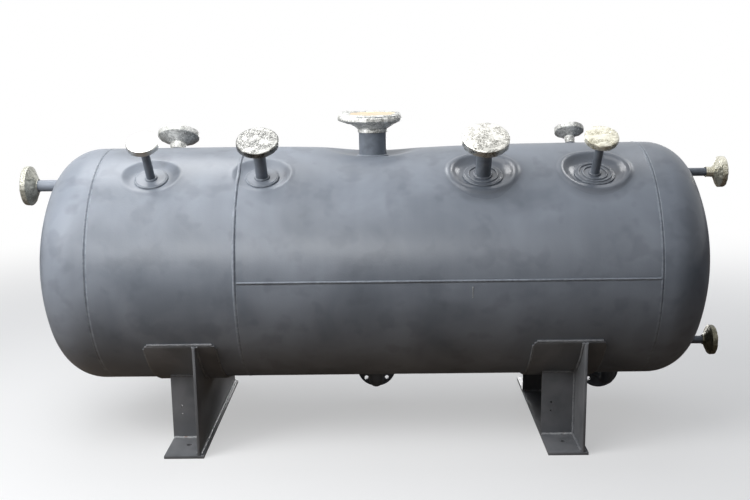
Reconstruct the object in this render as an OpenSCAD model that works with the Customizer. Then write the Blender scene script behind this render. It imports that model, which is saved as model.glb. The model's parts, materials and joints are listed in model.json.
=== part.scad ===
// Horizontal pressure vessel on two saddles.
// X runs along the vessel, Y across it and Z up. The origin lies on the ground,
// in the middle of the anchor holes. The front is the side facing -Y.

/* [Shell] */
// Inside diameter of the shell
shell_bore = 900; // [860:1:940]
// Plate thickness of the shell and heads
shell_wall = 8; // [6:0.5:10]
// Height of the shell's underside above the ground
shell_clearance = 205; // [190:1:240]
// Distance between the two head welds
weld_span = 2056; // [2000:2:2120]
// Length of the short course at the left
short_course_length = 533; // [515:1:550]

/* [Heads] */
// Inside radius of the dished crown
crown_radius = 813; // [780:1:850]
// Inside radius of the knuckle
knuckle_radius = 156; // [140:1:170]
// Length of the straight flange of a head
head_straight = 40; // [30:1:50]

/* [Welds] */
// Width of a girth weld
girth_weld_width = 14; // [10:1:18]
// Height of the middle girth weld above the plate
girth_weld_crown = 2.5; // [1.5:0.5:4]
// Height of a head weld above the plate
head_weld_crown = 0.8; // [0.4:0.2:2]
// Width of a longitudinal seam weld
seam_weld_width = 10; // [8:1:14]
// Height of a longitudinal seam weld above the plate
seam_weld_crown = 2; // [1.5:0.5:3]
// Leg of a fillet weld round a neck or a pad
fillet_leg = 6; // [4:0.5:8]
// Angle of the long course's seam from the top, towards the front
front_seam_angle = 88; // [70:1:95]
// Angle of the short course's seam from the top, towards the rear
rear_seam_angle = 75; // [60:1:95]

/* [Top nozzles] */
// Distance of an outer nozzle from the nearest head weld
outer_nozzle_setback = 208; // [180:1:235]
// Distance between an outer nozzle and the inner one beside it
nozzle_pitch = 412; // [395:1:440]
// Angle of the front nozzles from the top
front_angle = 34; // [28:1:38]
// Angle of the rear nozzles from the top
rear_angle = 29; // [25:1:36]
// Height of the front flange faces above the shell
front_reach = 160; // [140:1:190]
// Height of the rear flange faces above the shell
rear_reach = 110; // [100:1:150]
// Height of the crown flange face above the shell
crown_reach = 120; // [110:1:150]
// Length of a neck inside the shell
neck_inside = 10; // [5:1:20]

/* [Drawn-in plate round the nozzles] */
// Half length of a dent along the shell
dent_reach = 120; // [105:1:130]
// Depth of a dent
dent_depth = 16; // [12:0.5:20]
// Half length of the crown nozzle's dent along the shell
crown_dent_reach = 230; // [215:1:245]
// Depth of the crown nozzle's dent
crown_dent_depth = 40; // [34:0.5:44]
// Outside diameter of a reinforcing pad on the left half
left_pad_d = 114; // [105:1:125]
// Outside diameter of a reinforcing pad on the right half
right_pad_d = 138; // [125:1:145]
// Thickness of a reinforcing pad
pad_thickness = 6; // [4:0.5:8]

/* [End nozzles] */
// Height of the left end nozzle above the vessel's axis
left_end_rise = 316; // [290:1:330]
// Height of the right upper nozzle above the vessel's axis
right_upper_rise = 338; // [300:1:345]
// Depth of the right lower nozzle below the vessel's axis
right_lower_drop = 350; // [310:1:355]
// Distance of the end flange faces past the crown of a head
end_reach = 77; // [70:1:110]

/* [Bottom outlets] */
// Distance of the right outlet from the right head weld
outlet_setback = 73; // [60:1:85]
// Depth of the outlet's centre line below the shell
outlet_drop = 65; // [62:1:80]
// Bend radius of the outlet elbow
elbow_bend = 51; // [48:1:57]
// Distance of the middle outlet's flange face behind the axis
middle_outlet_reach = 220; // [210:1:260]
// Distance of the right outlet's flange face behind the axis
right_outlet_reach = 178; // [176:1:230]

/* [Saddles] */
// Distance of a saddle from the nearest head weld
saddle_setback = 311; // [290:1:350]
// Length of a base plate across the vessel
base_length = 850; // [820:1:900]
// Width of a base plate along the vessel
base_width = 150; // [140:1:170]
// Thickness of a base plate
base_thickness = 12; // [10:1:16]
// Thickness of a web plate
web_thickness = 10; // [8:1:14]
// Distance of the web plate from the right edge of the base plate
web_inset = 14; // [5:1:25]
// Thickness of a rib
rib_thickness = 10; // [8:1:14]
// Distance between the outer faces of the two ribs
rib_spread = 500; // [460:1:520]
// Distance between the front and rear anchor holes
anchor_spread = 640; // [600:1:680]
// Diameter of an anchor hole
anchor_hole_d = 20; // [14:1:24]
// Diameter of the small holes in a rib
rib_hole_d = 8; // [5:0.5:12]
// Distance between the two small holes in a rib
rib_hole_pitch = 34; // [25:1:45]
// Height of the middle of the rib holes above the ground
rib_hole_height = 127; // [110:1:140]
// Distance of the rib holes from the left edge of the rib
rib_hole_inset = 38; // [25:1:55]
// Angle of shell that a wrapper plate covers
wrapper_angle = 120; // [110:1:130]
// Width of a wrapper plate along the vessel
wrapper_width = 262; // [240:1:280]
// Thickness of a wrapper plate
wrapper_thickness = 8; // [6:0.5:10]

/* [Small nozzle, 25 bore] */
// Outside diameter of the pipe
small_pipe_d = 32; // [30:0.5:35]
// Wall of the pipe
small_pipe_wall = 3.5; // [2.5:0.5:5]
// Diameter of the flange
small_flange_d = 115; // [110:1:125]
// Thickness of the flange with its raised face
small_flange_thickness = 18; // [14:1:22]
// Diameter of the bolt circle
small_bolt_circle = 85; // [80:1:88]
// Diameter of a bolt hole
small_bolt_hole_d = 14; // [12:1:16]
// Diameter of the raised face
small_face_d = 65; // [58:1:68]
// Diameter of the hub at the flange
small_hub_d = 46; // [42:1:50]
// Height of the flange with its hub
small_hub_length = 40; // [34:1:46]

/* [Medium nozzle, 40 bore] */
// Outside diameter of the pipe
medium_pipe_d = 45; // [42:0.5:49]
// Wall of the pipe
medium_pipe_wall = 3.5; // [2.5:0.5:5]
// Diameter of the flange
medium_flange_d = 150; // [145:1:160]
// Thickness of the flange with its raised face
medium_flange_thickness = 18; // [14:1:22]
// Diameter of the bolt circle
medium_bolt_circle = 110; // [106:1:114]
// Diameter of a bolt hole
medium_bolt_hole_d = 18; // [14:1:20]
// Diameter of the raised face
medium_face_d = 84; // [76:1:87]
// Diameter of the hub at the flange
medium_hub_d = 64; // [58:1:68]
// Height of the flange with its hub
medium_hub_length = 45; // [38:1:52]

/* [Large nozzle, 50 bore] */
// Outside diameter of the pipe
large_pipe_d = 57; // [54:0.5:61]
// Wall of the pipe
large_pipe_wall = 3.5; // [2.5:0.5:5]
// Diameter of the flange
large_flange_d = 165; // [160:1:168]
// Thickness of the flange with its raised face
large_flange_thickness = 20; // [16:1:24]
// Diameter of the bolt circle
large_bolt_circle = 125; // [120:1:130]
// Diameter of a bolt hole
large_bolt_hole_d = 18; // [14:1:20]
// Diameter of the raised face
large_face_d = 99; // [90:1:101]
// Diameter of the hub at the flange
large_hub_d = 74; // [68:1:80]
// Height of the flange with its hub
large_hub_length = 48; // [42:1:56]

/* [Crown nozzle, 100 bore] */
// Outside diameter of the pipe
crown_pipe_d = 108; // [104:0.5:115]
// Wall of the pipe
crown_pipe_wall = 4; // [3:0.5:6]
// Diameter of the flange
crown_flange_d = 220; // [215:1:235]
// Thickness of the flange with its raised face
crown_flange_thickness = 20; // [18:1:24]
// Diameter of the bolt circle
crown_bolt_circle = 180; // [178:1:184]
// Diameter of a bolt hole
crown_bolt_hole_d = 18; // [16:1:20]
// Diameter of the raised face
crown_face_d = 156; // [148:1:157]
// Diameter of the hub at the flange
crown_hub_d = 131; // [124:1:140]
// Height of the flange with its hub
crown_hub_length = 52; // [48:1:60]

/* [Foil wraps] */
// Thickness of a foil wrap with its folds
foil_thickness = 2; // [1:0.5:3]
// Length of a short foil collar on the neck
foil_collar = 6; // [4:1:12]
// Length of a long foil sleeve on the neck
foil_sleeve = 30; // [15:1:40]

/* [Hidden] */
$fn = 96;
// Clearance between curved faces that seat on each other
seat_gap = 0.3;
// Overrun of every cut
cut_over = 5;
// Height of the raised face of a flange
raised_face = 2;
// Length of the plain end of a flange hub
hub_end = 6;
// Height of a fillet weld at its toe
fillet_toe = 0.6;

// Shell
bore_r = shell_bore / 2;
shell_r = bore_r + shell_wall;
axis_height = shell_clearance + shell_r;
left_weld_x = -weld_span / 2;
right_weld_x = weld_span / 2;
middle_weld_x = left_weld_x + short_course_length;
half_weld = girth_weld_width / 2;
short_start = left_weld_x + half_weld;
short_end = middle_weld_x - half_weld;
long_start = middle_weld_x + half_weld;
long_end = right_weld_x - half_weld;

// Heads: a crown arc and a knuckle arc that meet on the line of their centres
tangent_x = weld_span / 2 + head_straight;
knuckle_centre = bore_r - knuckle_radius;
crown_sink = sqrt(pow(crown_radius - knuckle_radius, 2) - pow(knuckle_centre, 2));
head_depth = crown_radius - crown_sink;
blend_share = 1 / (crown_radius - knuckle_radius);
head_crown_x = tangent_x + head_depth + shell_wall;
end_face_x = head_crown_x + end_reach;

// Top nozzles
outer_nozzle_x = right_weld_x - outer_nozzle_setback;
inner_nozzle_x = outer_nozzle_x - nozzle_pitch;

// Dents
dent_r = sphere_radius(dent_reach, dent_depth);
crown_dent_r = sphere_radius(crown_dent_reach, crown_dent_depth);

// Saddles
saddle_x = weld_span / 2 - saddle_setback;
wrapper_inner_r = shell_r + seat_gap;
wrapper_outer_r = wrapper_inner_r + wrapper_thickness;
saddle_seat_r = wrapper_outer_r + seat_gap;
web_offset = base_width / 2 - web_inset - web_thickness;
rib_width = base_width - web_inset - web_thickness;

// Outlets
outlet_height = shell_clearance - outlet_drop;
right_outlet_x = right_weld_x - outlet_setback;

// A nozzle size: pipe, wall, flange, thickness, bolt circle, bolt hole, bolts, face, hub, hub length
SMALL = [small_pipe_d, small_pipe_wall, small_flange_d, small_flange_thickness,
    small_bolt_circle, small_bolt_hole_d, 4, small_face_d, small_hub_d, small_hub_length];
MEDIUM = [medium_pipe_d, medium_pipe_wall, medium_flange_d, medium_flange_thickness,
    medium_bolt_circle, medium_bolt_hole_d, 4, medium_face_d, medium_hub_d, medium_hub_length];
LARGE = [large_pipe_d, large_pipe_wall, large_flange_d, large_flange_thickness,
    large_bolt_circle, large_bolt_hole_d, 4, large_face_d, large_hub_d, large_hub_length];
CROWN = [crown_pipe_d, crown_pipe_wall, crown_flange_d, crown_flange_thickness,
    crown_bolt_circle, crown_bolt_hole_d, 8, crown_face_d, crown_hub_d, crown_hub_length];

function pipe_r(size) = size[0] / 2;
function pipe_bore_r(size) = pipe_r(size) - size[1];
function flange_r(size) = size[2] / 2;
function flange_thickness(size) = size[3];
function bolt_circle_r(size) = size[4] / 2;
function bolt_hole_d(size) = size[5];
function bolt_count(size) = size[6];
function face_r(size) = size[7] / 2;
function hub_r(size) = size[8] / 2;
function hub_length(size) = size[9];

// A nozzle on the shell: place along X, angle from the top towards the front, reach, size
FRONT_OUTER_LEFT = [-outer_nozzle_x, front_angle, front_reach, SMALL];
FRONT_INNER_LEFT = [-inner_nozzle_x, front_angle, front_reach, MEDIUM];
FRONT_INNER_RIGHT = [inner_nozzle_x, front_angle, front_reach, LARGE];
FRONT_OUTER_RIGHT = [outer_nozzle_x, front_angle, front_reach, SMALL];
REAR_LEFT = [-outer_nozzle_x, -rear_angle, rear_reach, LARGE];
REAR_RIGHT = [outer_nozzle_x, -rear_angle, rear_reach, SMALL];
CROWN_NOZZLE = [0, 0, crown_reach, CROWN];
SIDE_NOZZLES = [FRONT_OUTER_LEFT, FRONT_INNER_LEFT, FRONT_INNER_RIGHT, FRONT_OUTER_RIGHT,
    REAR_LEFT, REAR_RIGHT];

// An end nozzle: side of the vessel, height from the axis, size
LEFT_END = [-1, left_end_rise, MEDIUM];
RIGHT_UPPER = [1, right_upper_rise, SMALL];
RIGHT_LOWER = [1, -right_lower_drop, SMALL];

// A bottom outlet: place along X, reach of its flange face to the rear
MIDDLE_OUTLET = [0, middle_outlet_reach];
RIGHT_OUTLET = [right_outlet_x, right_outlet_reach];

steel_paint = "#7d858f";
weld_paint = "#8a9199";
foil_silver = "#d9dad6";

// Radius of the sphere that dips to a depth over a half length
function sphere_radius(reach, depth) = (pow(reach, 2) + pow(depth, 2)) / (2 * depth);

// Rise of a dish over its lowest point at a distance from its middle
function dish_rise(ball_r, reach) = ball_r - sqrt(pow(ball_r, 2) - pow(reach, 2));

// Outside diameter of the pad at a nozzle
function pad_d(nozzle) = nozzle[0] < 0 ? left_pad_d : right_pad_d;

// Distance along X of a head's outer face at a distance from the vessel's axis
function head_face_x(rise) =
    tangent_x - crown_sink + sqrt(pow(crown_radius + shell_wall, 2) - pow(rise, 2));

// Turns Z to point along the vessel, with its zero on the vessel's axis
module along_vessel(from_x) {
    translate([from_x, 0, axis_height])
        rotate([0, 90, 0])
            children();
}

// Turns Z to point out of the shell at a nozzle, with its zero on the vessel's axis
module out_of_shell(nozzle) {
    translate([nozzle[0], 0, axis_height])
        rotate([nozzle[1], 0, 0])
            children();
}

// Turns Z to point out of an end of the vessel, with its zero at the middle of the vessel
module out_of_end(nozzle) {
    translate([0, 0, axis_height + nozzle[1]])
        rotate([0, nozzle[0] * 90, 0])
            children();
}

// Puts children at the left or right saddle
module at_saddle(side) {
    translate([side * saddle_x, 0, 0])
        children();
}

// Balls that shape the dents, grown by a wall
module dent_balls(grow) {
    for (nozzle = SIDE_NOZZLES)
        out_of_shell(nozzle)
            translate([0, 0, shell_r - dent_depth + dent_r])
                sphere(r = dent_r + grow);
    out_of_shell(CROWN_NOZZLE)
        translate([0, 0, shell_r - crown_dent_depth + crown_dent_r])
            sphere(r = crown_dent_r + grow);
}

// Holes that the necks pass through in the shell
module neck_holes() {
    for (nozzle = concat(SIDE_NOZZLES, [CROWN_NOZZLE]))
        out_of_shell(nozzle)
            cylinder(r = pipe_r(nozzle[3]) + seat_gap, h = shell_r + cut_over);
    for (outlet = [MIDDLE_OUTLET, RIGHT_OUTLET])
        translate([outlet[0], 0, 0])
            cylinder(r = pipe_r(LARGE) + seat_gap, h = axis_height);
}

// A band of the rolled shell, drawn in at the nozzles
module shell_band(from_x, to_x) {
    difference() {
        union() {
            along_vessel(from_x)
                difference() {
                    cylinder(r = shell_r, h = to_x - from_x);
                    translate([0, 0, -cut_over])
                        cylinder(r = bore_r, h = to_x - from_x + 2 * cut_over);
                }
            intersection() {
                along_vessel(from_x)
                    cylinder(r = shell_r, h = to_x - from_x);
                dent_balls(shell_wall);
            }
        }
        dent_balls(0);
        neck_holes();
    }
}

// The raised bead of a girth weld, lowered where the plate is drawn in
module girth_bead(at_x, crown) {
    bead_r = sphere_radius(half_weld, crown);
    difference() {
        along_vessel(at_x)
            rotate_extrude()
                intersection() {
                    translate([shell_r + crown - bead_r, 0])
                        circle(r = bead_r);
                    translate([bore_r, -half_weld])
                        square([shell_wall + crown + cut_over, girth_weld_width]);
                }
        dent_balls(-crown);
    }
}

// A girth weld: the filled joint and its bead
module girth_weld(at_x, crown) {
    color(weld_paint)
        union() {
            shell_band(at_x - half_weld, at_x + half_weld);
            girth_bead(at_x, crown);
        }
}

module short_course() {
    color(steel_paint)
        shell_band(short_start, short_end);
}

module long_course() {
    color(steel_paint)
        shell_band(long_start, long_end);
}

module left_girth_weld() {
    girth_weld(left_weld_x, head_weld_crown);
}

module middle_girth_weld() {
    girth_weld(middle_weld_x, girth_weld_crown);
}

module right_girth_weld() {
    girth_weld(right_weld_x, head_weld_crown);
}

// A longitudinal seam bead that lies on the shell
module seam_bead(from_x, to_x, angle) {
    bead_r = sphere_radius(seam_weld_width / 2, seam_weld_crown);
    translate([from_x, 0, axis_height])
        rotate([angle, 0, 0])
            intersection() {
                translate([0, 0, shell_r + seam_weld_crown - bead_r])
                    rotate([0, 90, 0])
                        cylinder(r = bead_r, h = to_x - from_x);
                translate([0, -seam_weld_width / 2, shell_r + seat_gap])
                    cube([to_x - from_x, seam_weld_width, seam_weld_crown]);
            }
}

module seam_welds() {
    color(weld_paint) {
        seam_bead(long_start, long_end, front_seam_angle);
        seam_bead(short_start, short_end, -rear_seam_angle);
    }
}

// Half outline of a dished head, from its axis to its rim
module head_outline(grow) {
    blend_x = knuckle_centre * (1 + (knuckle_radius + grow) * blend_share);
    rim = bore_r + grow;
    top = head_depth + grow;
    intersection() {
        translate([0, -crown_sink])
            circle(r = crown_radius + grow);
        square([blend_x, top]);
    }
    intersection() {
        translate([knuckle_centre, 0])
            circle(r = knuckle_radius + grow);
        translate([blend_x, 0])
            square([rim - blend_x, top]);
    }
}

// A dished head with its straight flange, opening towards -Z
module dished_head() {
    straight = head_straight - half_weld;
    rotate_extrude() {
        difference() {
            head_outline(shell_wall);
            head_outline(0);
        }
        translate([bore_r, -straight])
            square([shell_wall, straight]);
    }
}

// A head at one end of the vessel, drilled for its nozzles
module vessel_head(side, nozzles) {
    color(steel_paint)
        difference() {
            translate([side * tangent_x, 0, axis_height])
                rotate([0, side * 90, 0])
                    dished_head();
            for (nozzle = nozzles)
                out_of_end(nozzle)
                    cylinder(r = pipe_r(nozzle[2]) + seat_gap, h = end_face_x);
        }
}

module left_head() {
    vessel_head(-1, [LEFT_END]);
}

module right_head() {
    vessel_head(1, [RIGHT_UPPER, RIGHT_LOWER]);
}

// A reinforcing pad, seated in the dent round a neck
module pad(nozzle) {
    out_of_shell(nozzle)
        difference() {
            intersection() {
                translate([0, 0, shell_r - dent_depth])
                    cylinder(d = pad_d(nozzle), h = dent_r);
                translate([0, 0, shell_r - dent_depth + dent_r])
                    sphere(r = dent_r - seat_gap);
            }
            translate([0, 0, shell_r - dent_depth + dent_r])
                sphere(r = dent_r - seat_gap - pad_thickness);
            translate([0, 0, shell_r - dent_depth - cut_over])
                cylinder(r = pipe_r(nozzle[3]) + seat_gap, h = dent_r);
        }
}

module reinforcing_pads() {
    color(steel_paint)
        for (nozzle = SIDE_NOZZLES)
            pad(nozzle);
}

// A fillet weld between a round wall and the dished plate that it stands on
module dish_fillet(wall_r, floor_z, ball_r) {
    in_r = wall_r + seat_gap;
    out_r = in_r + fillet_leg;
    in_z = floor_z + dish_rise(ball_r, in_r);
    out_z = floor_z + dish_rise(ball_r, out_r);
    rotate_extrude()
        polygon([
            [in_r, in_z],
            [out_r, out_z],
            [out_r, out_z + fillet_toe],
            [in_r, in_z + fillet_leg]
        ]);
}

// The fillet welds of a nozzle in a pad: round the pad and round the neck
module pad_fillets(nozzle) {
    pad_top_r = dent_r - 2 * seat_gap - pad_thickness;
    out_of_shell(nozzle) {
        dish_fillet(pad_d(nozzle) / 2, shell_r - dent_depth + seat_gap, dent_r - seat_gap);
        dish_fillet(pipe_r(nozzle[3]), shell_r - dent_depth + dent_r - pad_top_r, pad_top_r);
    }
}

// A ring that fits round a pipe along Z and is as wide as a fillet weld
module fillet_ring(size, height) {
    difference() {
        cylinder(r = pipe_r(size) + seat_gap + fillet_leg, h = height);
        translate([0, 0, -cut_over])
            cylinder(r = pipe_r(size) + seat_gap, h = height + 2 * cut_over);
    }
}

// The fillet weld of an end nozzle, laid on the crown of the head
module end_fillet(nozzle) {
    crown_face_r = crown_radius + shell_wall + seat_gap;
    out_of_end(nozzle)
        intersection() {
            fillet_ring(nozzle[2], end_face_x);
            translate([nozzle[0] * nozzle[1], 0, tangent_x - crown_sink])
                difference() {
                    sphere(r = crown_face_r + fillet_leg);
                    sphere(r = crown_face_r);
                }
        }
}

// The fillet weld of a bottom outlet, laid on the underside of the shell
module outlet_fillet(outlet) {
    intersection() {
        translate([outlet[0], 0, 0])
            fillet_ring(LARGE, axis_height);
        along_vessel(outlet[0] - shell_r)
            difference() {
                cylinder(r = shell_r + seat_gap + fillet_leg, h = 2 * shell_r);
                translate([0, 0, -cut_over])
                    cylinder(r = shell_r + seat_gap, h = 2 * shell_r + 2 * cut_over);
            }
    }
}

module nozzle_welds() {
    color(weld_paint) {
        for (nozzle = SIDE_NOZZLES)
            pad_fillets(nozzle);
        out_of_shell(CROWN_NOZZLE)
            dish_fillet(pipe_r(CROWN), shell_r - crown_dent_depth + seat_gap, crown_dent_r - seat_gap);
        for (nozzle = [LEFT_END, RIGHT_UPPER, RIGHT_LOWER])
            end_fillet(nozzle);
        for (outlet = [MIDDLE_OUTLET, RIGHT_OUTLET])
            outlet_fillet(outlet);
    }
}

// A pipe along Z between two heights
module pipe(size, from_z, to_z) {
    translate([0, 0, from_z])
        difference() {
            cylinder(r = pipe_r(size), h = to_z - from_z);
            translate([0, 0, -cut_over])
                cylinder(r = pipe_bore_r(size), h = to_z - from_z + 2 * cut_over);
        }
}

// A weld neck flange with its face at zero and its hub towards -Z
module flange(size) {
    rim_z = -raised_face;
    back_z = -flange_thickness(size);
    end_z = -hub_length(size);
    difference() {
        rotate_extrude()
            polygon([
                [pipe_bore_r(size), 0],
                [face_r(size), 0],
                [face_r(size), rim_z],
                [flange_r(size), rim_z],
                [flange_r(size), back_z],
                [hub_r(size), back_z],
                [pipe_r(size), end_z + hub_end],
                [pipe_r(size), end_z],
                [pipe_bore_r(size), end_z]
            ]);
        for (bolt = [0 : bolt_count(size) - 1])
            rotate([0, 0, (bolt + 0.5) * 360 / bolt_count(size)])
                translate([bolt_circle_r(size), 0, back_z - cut_over])
                    cylinder(d = bolt_hole_d(size), h = flange_thickness(size) + 2 * cut_over);
    }
}

// A foil wrap over a flange's face, rim and hub, with a collar on the neck
module foil_wrap(size, collar) {
    gap = seat_gap;
    outside = seat_gap + foil_thickness;
    back_z = -flange_thickness(size);
    hub_z = -hub_length(size) + hub_end;
    end_z = -hub_length(size) - collar;
    rotate_extrude()
        polygon([
            [0, gap],
            [0, outside],
            [flange_r(size) + outside, outside],
            [flange_r(size) + outside, back_z - outside],
            [hub_r(size) + outside, back_z - outside],
            [pipe_r(size) + outside, hub_z],
            [pipe_r(size) + outside, end_z],
            [pipe_r(size) + gap, end_z],
            [pipe_r(size) + gap, hub_z],
            [hub_r(size) + gap, back_z - gap],
            [flange_r(size) + gap, back_z - gap],
            [flange_r(size) + gap, gap]
        ]);
}

// The neck of a nozzle on the shell
module shell_neck(nozzle, depth) {
    color(steel_paint)
        out_of_shell(nozzle)
            pipe(nozzle[3], shell_r - depth - shell_wall - neck_inside,
                shell_r + nozzle[2] - hub_length(nozzle[3]));
}

// The flange of a nozzle on the shell
module shell_flange(nozzle) {
    color(steel_paint)
        out_of_shell(nozzle)
            translate([0, 0, shell_r + nozzle[2]])
                flange(nozzle[3]);
}

// The foil wrap of a nozzle on the shell
module shell_foil(nozzle, collar) {
    color(foil_silver)
        out_of_shell(nozzle)
            translate([0, 0, shell_r + nozzle[2]])
                foil_wrap(nozzle[3], collar);
}

module front_outer_left_neck() { shell_neck(FRONT_OUTER_LEFT, dent_depth); }
module front_outer_left_flange() { shell_flange(FRONT_OUTER_LEFT); }
module front_inner_left_neck() { shell_neck(FRONT_INNER_LEFT, dent_depth); }
module front_inner_left_flange() { shell_flange(FRONT_INNER_LEFT); }
module front_inner_right_neck() { shell_neck(FRONT_INNER_RIGHT, dent_depth); }
module front_inner_right_flange() { shell_flange(FRONT_INNER_RIGHT); }
module front_outer_right_neck() { shell_neck(FRONT_OUTER_RIGHT, dent_depth); }
module front_outer_right_flange() { shell_flange(FRONT_OUTER_RIGHT); }
module rear_left_neck() { shell_neck(REAR_LEFT, dent_depth); }
module rear_left_flange() { shell_flange(REAR_LEFT); }
module rear_right_neck() { shell_neck(REAR_RIGHT, dent_depth); }
module rear_right_flange() { shell_flange(REAR_RIGHT); }
module crown_neck() { shell_neck(CROWN_NOZZLE, crown_dent_depth); }
module crown_flange() { shell_flange(CROWN_NOZZLE); }

// The neck of an end nozzle
module end_neck(nozzle) {
    color(steel_paint)
        out_of_end(nozzle)
            pipe(nozzle[2], head_face_x(nozzle[1]) - 2 * shell_wall - neck_inside,
                end_face_x - hub_length(nozzle[2]));
}

// The flange of an end nozzle
module end_flange(nozzle) {
    color(steel_paint)
        out_of_end(nozzle)
            translate([0, 0, end_face_x])
                flange(nozzle[2]);
}

// The foil wrap of an end nozzle
module end_foil(nozzle, collar) {
    color(foil_silver)
        out_of_end(nozzle)
            translate([0, 0, end_face_x])
                foil_wrap(nozzle[2], collar);
}

module left_end_neck() { end_neck(LEFT_END); }
module left_end_flange() { end_flange(LEFT_END); }
module right_upper_neck() { end_neck(RIGHT_UPPER); }
module right_upper_flange() { end_flange(RIGHT_UPPER); }
module right_lower_neck() { end_neck(RIGHT_LOWER); }
module right_lower_flange() { end_flange(RIGHT_LOWER); }

module front_foil_wraps() {
    for (nozzle = [FRONT_OUTER_LEFT, FRONT_INNER_LEFT, FRONT_INNER_RIGHT, FRONT_OUTER_RIGHT])
        shell_foil(nozzle, foil_collar);
}

module upper_foil_wraps() {
    for (nozzle = [REAR_LEFT, REAR_RIGHT])
        shell_foil(nozzle, foil_sleeve);
    shell_foil(CROWN_NOZZLE, foil_collar);
}

module end_foil_wraps() {
    end_foil(LEFT_END, foil_collar);
    end_foil(RIGHT_UPPER, foil_sleeve);
    end_foil(RIGHT_LOWER, foil_collar);
}

// A bottom outlet pipe: down from the shell and round to the rear
module outlet_elbow(outlet) {
    top_z = shell_clearance + shell_wall + neck_inside;
    bend_z = outlet_height + elbow_bend;
    color(steel_paint)
        translate([outlet[0], 0, 0])
            union() {
                pipe(LARGE, bend_z, top_z);
                translate([0, elbow_bend, bend_z])
                    rotate([0, 90, 0])
                        rotate_extrude(angle = -90)
                            translate([elbow_bend, 0])
                                difference() {
                                    circle(r = pipe_r(LARGE));
                                    circle(r = pipe_bore_r(LARGE));
                                }
                translate([0, 0, outlet_height])
                    rotate([-90, 0, 0])
                        pipe(LARGE, elbow_bend, outlet[1] - hub_length(LARGE));
            }
}

// The flange of a bottom outlet, facing the rear
module outlet_flange(outlet) {
    color(steel_paint)
        translate([outlet[0], outlet[1], outlet_height])
            rotate([-90, 0, 0])
                flange(LARGE);
}

module middle_outlet_elbow() { outlet_elbow(MIDDLE_OUTLET); }
module middle_outlet_flange() { outlet_flange(MIDDLE_OUTLET); }
module right_outlet_elbow() { outlet_elbow(RIGHT_OUTLET); }
module right_outlet_flange() { outlet_flange(RIGHT_OUTLET); }

// The base plate of a saddle with its anchor holes
module saddle_base(side) {
    color(steel_paint)
        at_saddle(side)
            difference() {
                translate([-base_width / 2, -base_length / 2, 0])
                    cube([base_width, base_length, base_thickness]);
                for (end = [-1, 1])
                    translate([0, end * anchor_spread / 2, -cut_over])
                        cylinder(d = anchor_hole_d, h = base_thickness + 2 * cut_over);
            }
}

// The web plate of a saddle, hollowed to the wrapper plate and as long as the base plate
module saddle_web(side) {
    edge_z = axis_height - saddle_seat_r * cos(wrapper_angle / 2);
    color(steel_paint)
        at_saddle(side)
            translate([web_offset, 0, 0])
                rotate([90, 0, 90])
                    linear_extrude(height = web_thickness)
                        difference() {
                            translate([-base_length / 2, base_thickness])
                                square([base_length, edge_z - base_thickness]);
                            translate([0, axis_height])
                                circle(r = saddle_seat_r);
                        }
}

// The two ribs of a saddle, each with a pair of small holes
module saddle_ribs(side) {
    color(steel_paint)
        at_saddle(side)
            for (end = [0, 1])
                mirror([0, end, 0])
                    difference() {
                        translate([-base_width / 2, -rib_spread / 2, base_thickness])
                            cube([rib_width, rib_thickness, axis_height - base_thickness]);
                        translate([-base_width, 0, axis_height])
                            rotate([0, 90, 0])
                                cylinder(r = saddle_seat_r, h = 2 * base_width);
                        for (step = [-0.5, 0.5])
                            translate([rib_hole_inset - base_width / 2, 0,
                                rib_hole_height + step * rib_hole_pitch])
                                rotate([90, 0, 0])
                                    cylinder(d = rib_hole_d, h = rib_spread);
                    }
}

// The wrapper plate between a saddle and the shell
module saddle_wrapper(side) {
    color(steel_paint)
        at_saddle(side)
            translate([-wrapper_width / 2, 0, axis_height])
                rotate([0, 90, 0])
                    rotate([0, 0, -wrapper_angle / 2])
                        rotate_extrude(angle = wrapper_angle)
                            translate([wrapper_inner_r, 0])
                                square([wrapper_thickness, wrapper_width]);
}

module left_saddle_base() { saddle_base(-1); }
module left_saddle_web() { saddle_web(-1); }
module left_saddle_ribs() { saddle_ribs(-1); }
module left_saddle_wrapper() { saddle_wrapper(-1); }
module right_saddle_base() { saddle_base(1); }
module right_saddle_web() { saddle_web(1); }
module right_saddle_ribs() { saddle_ribs(1); }
module right_saddle_wrapper() { saddle_wrapper(1); }

short_course();
long_course();
left_head();
right_head();
left_girth_weld();
middle_girth_weld();
right_girth_weld();
seam_welds();
left_saddle_base();
left_saddle_web();
left_saddle_ribs();
left_saddle_wrapper();
right_saddle_base();
right_saddle_web();
right_saddle_ribs();
right_saddle_wrapper();
reinforcing_pads();
nozzle_welds();
front_outer_left_neck();
front_outer_left_flange();
front_inner_left_neck();
front_inner_left_flange();
front_inner_right_neck();
front_inner_right_flange();
front_outer_right_neck();
front_outer_right_flange();
rear_left_neck();
rear_left_flange();
rear_right_neck();
rear_right_flange();
crown_neck();
crown_flange();
left_end_neck();
left_end_flange();
right_upper_neck();
right_upper_flange();
right_lower_neck();
right_lower_flange();
middle_outlet_elbow();
middle_outlet_flange();
right_outlet_elbow();
right_outlet_flange();
front_foil_wraps();
upper_foil_wraps();
end_foil_wraps();
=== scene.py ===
"""Looks of a horizontal pressure vessel on two saddles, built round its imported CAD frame."""

import json
import logging
import math
from collections.abc import Callable, Iterable, Iterator
from contextlib import contextmanager
from dataclasses import dataclass
from enum import Enum
from functools import cache
from itertools import pairwise

import bpy
from mathutils import Matrix, Vector

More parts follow.
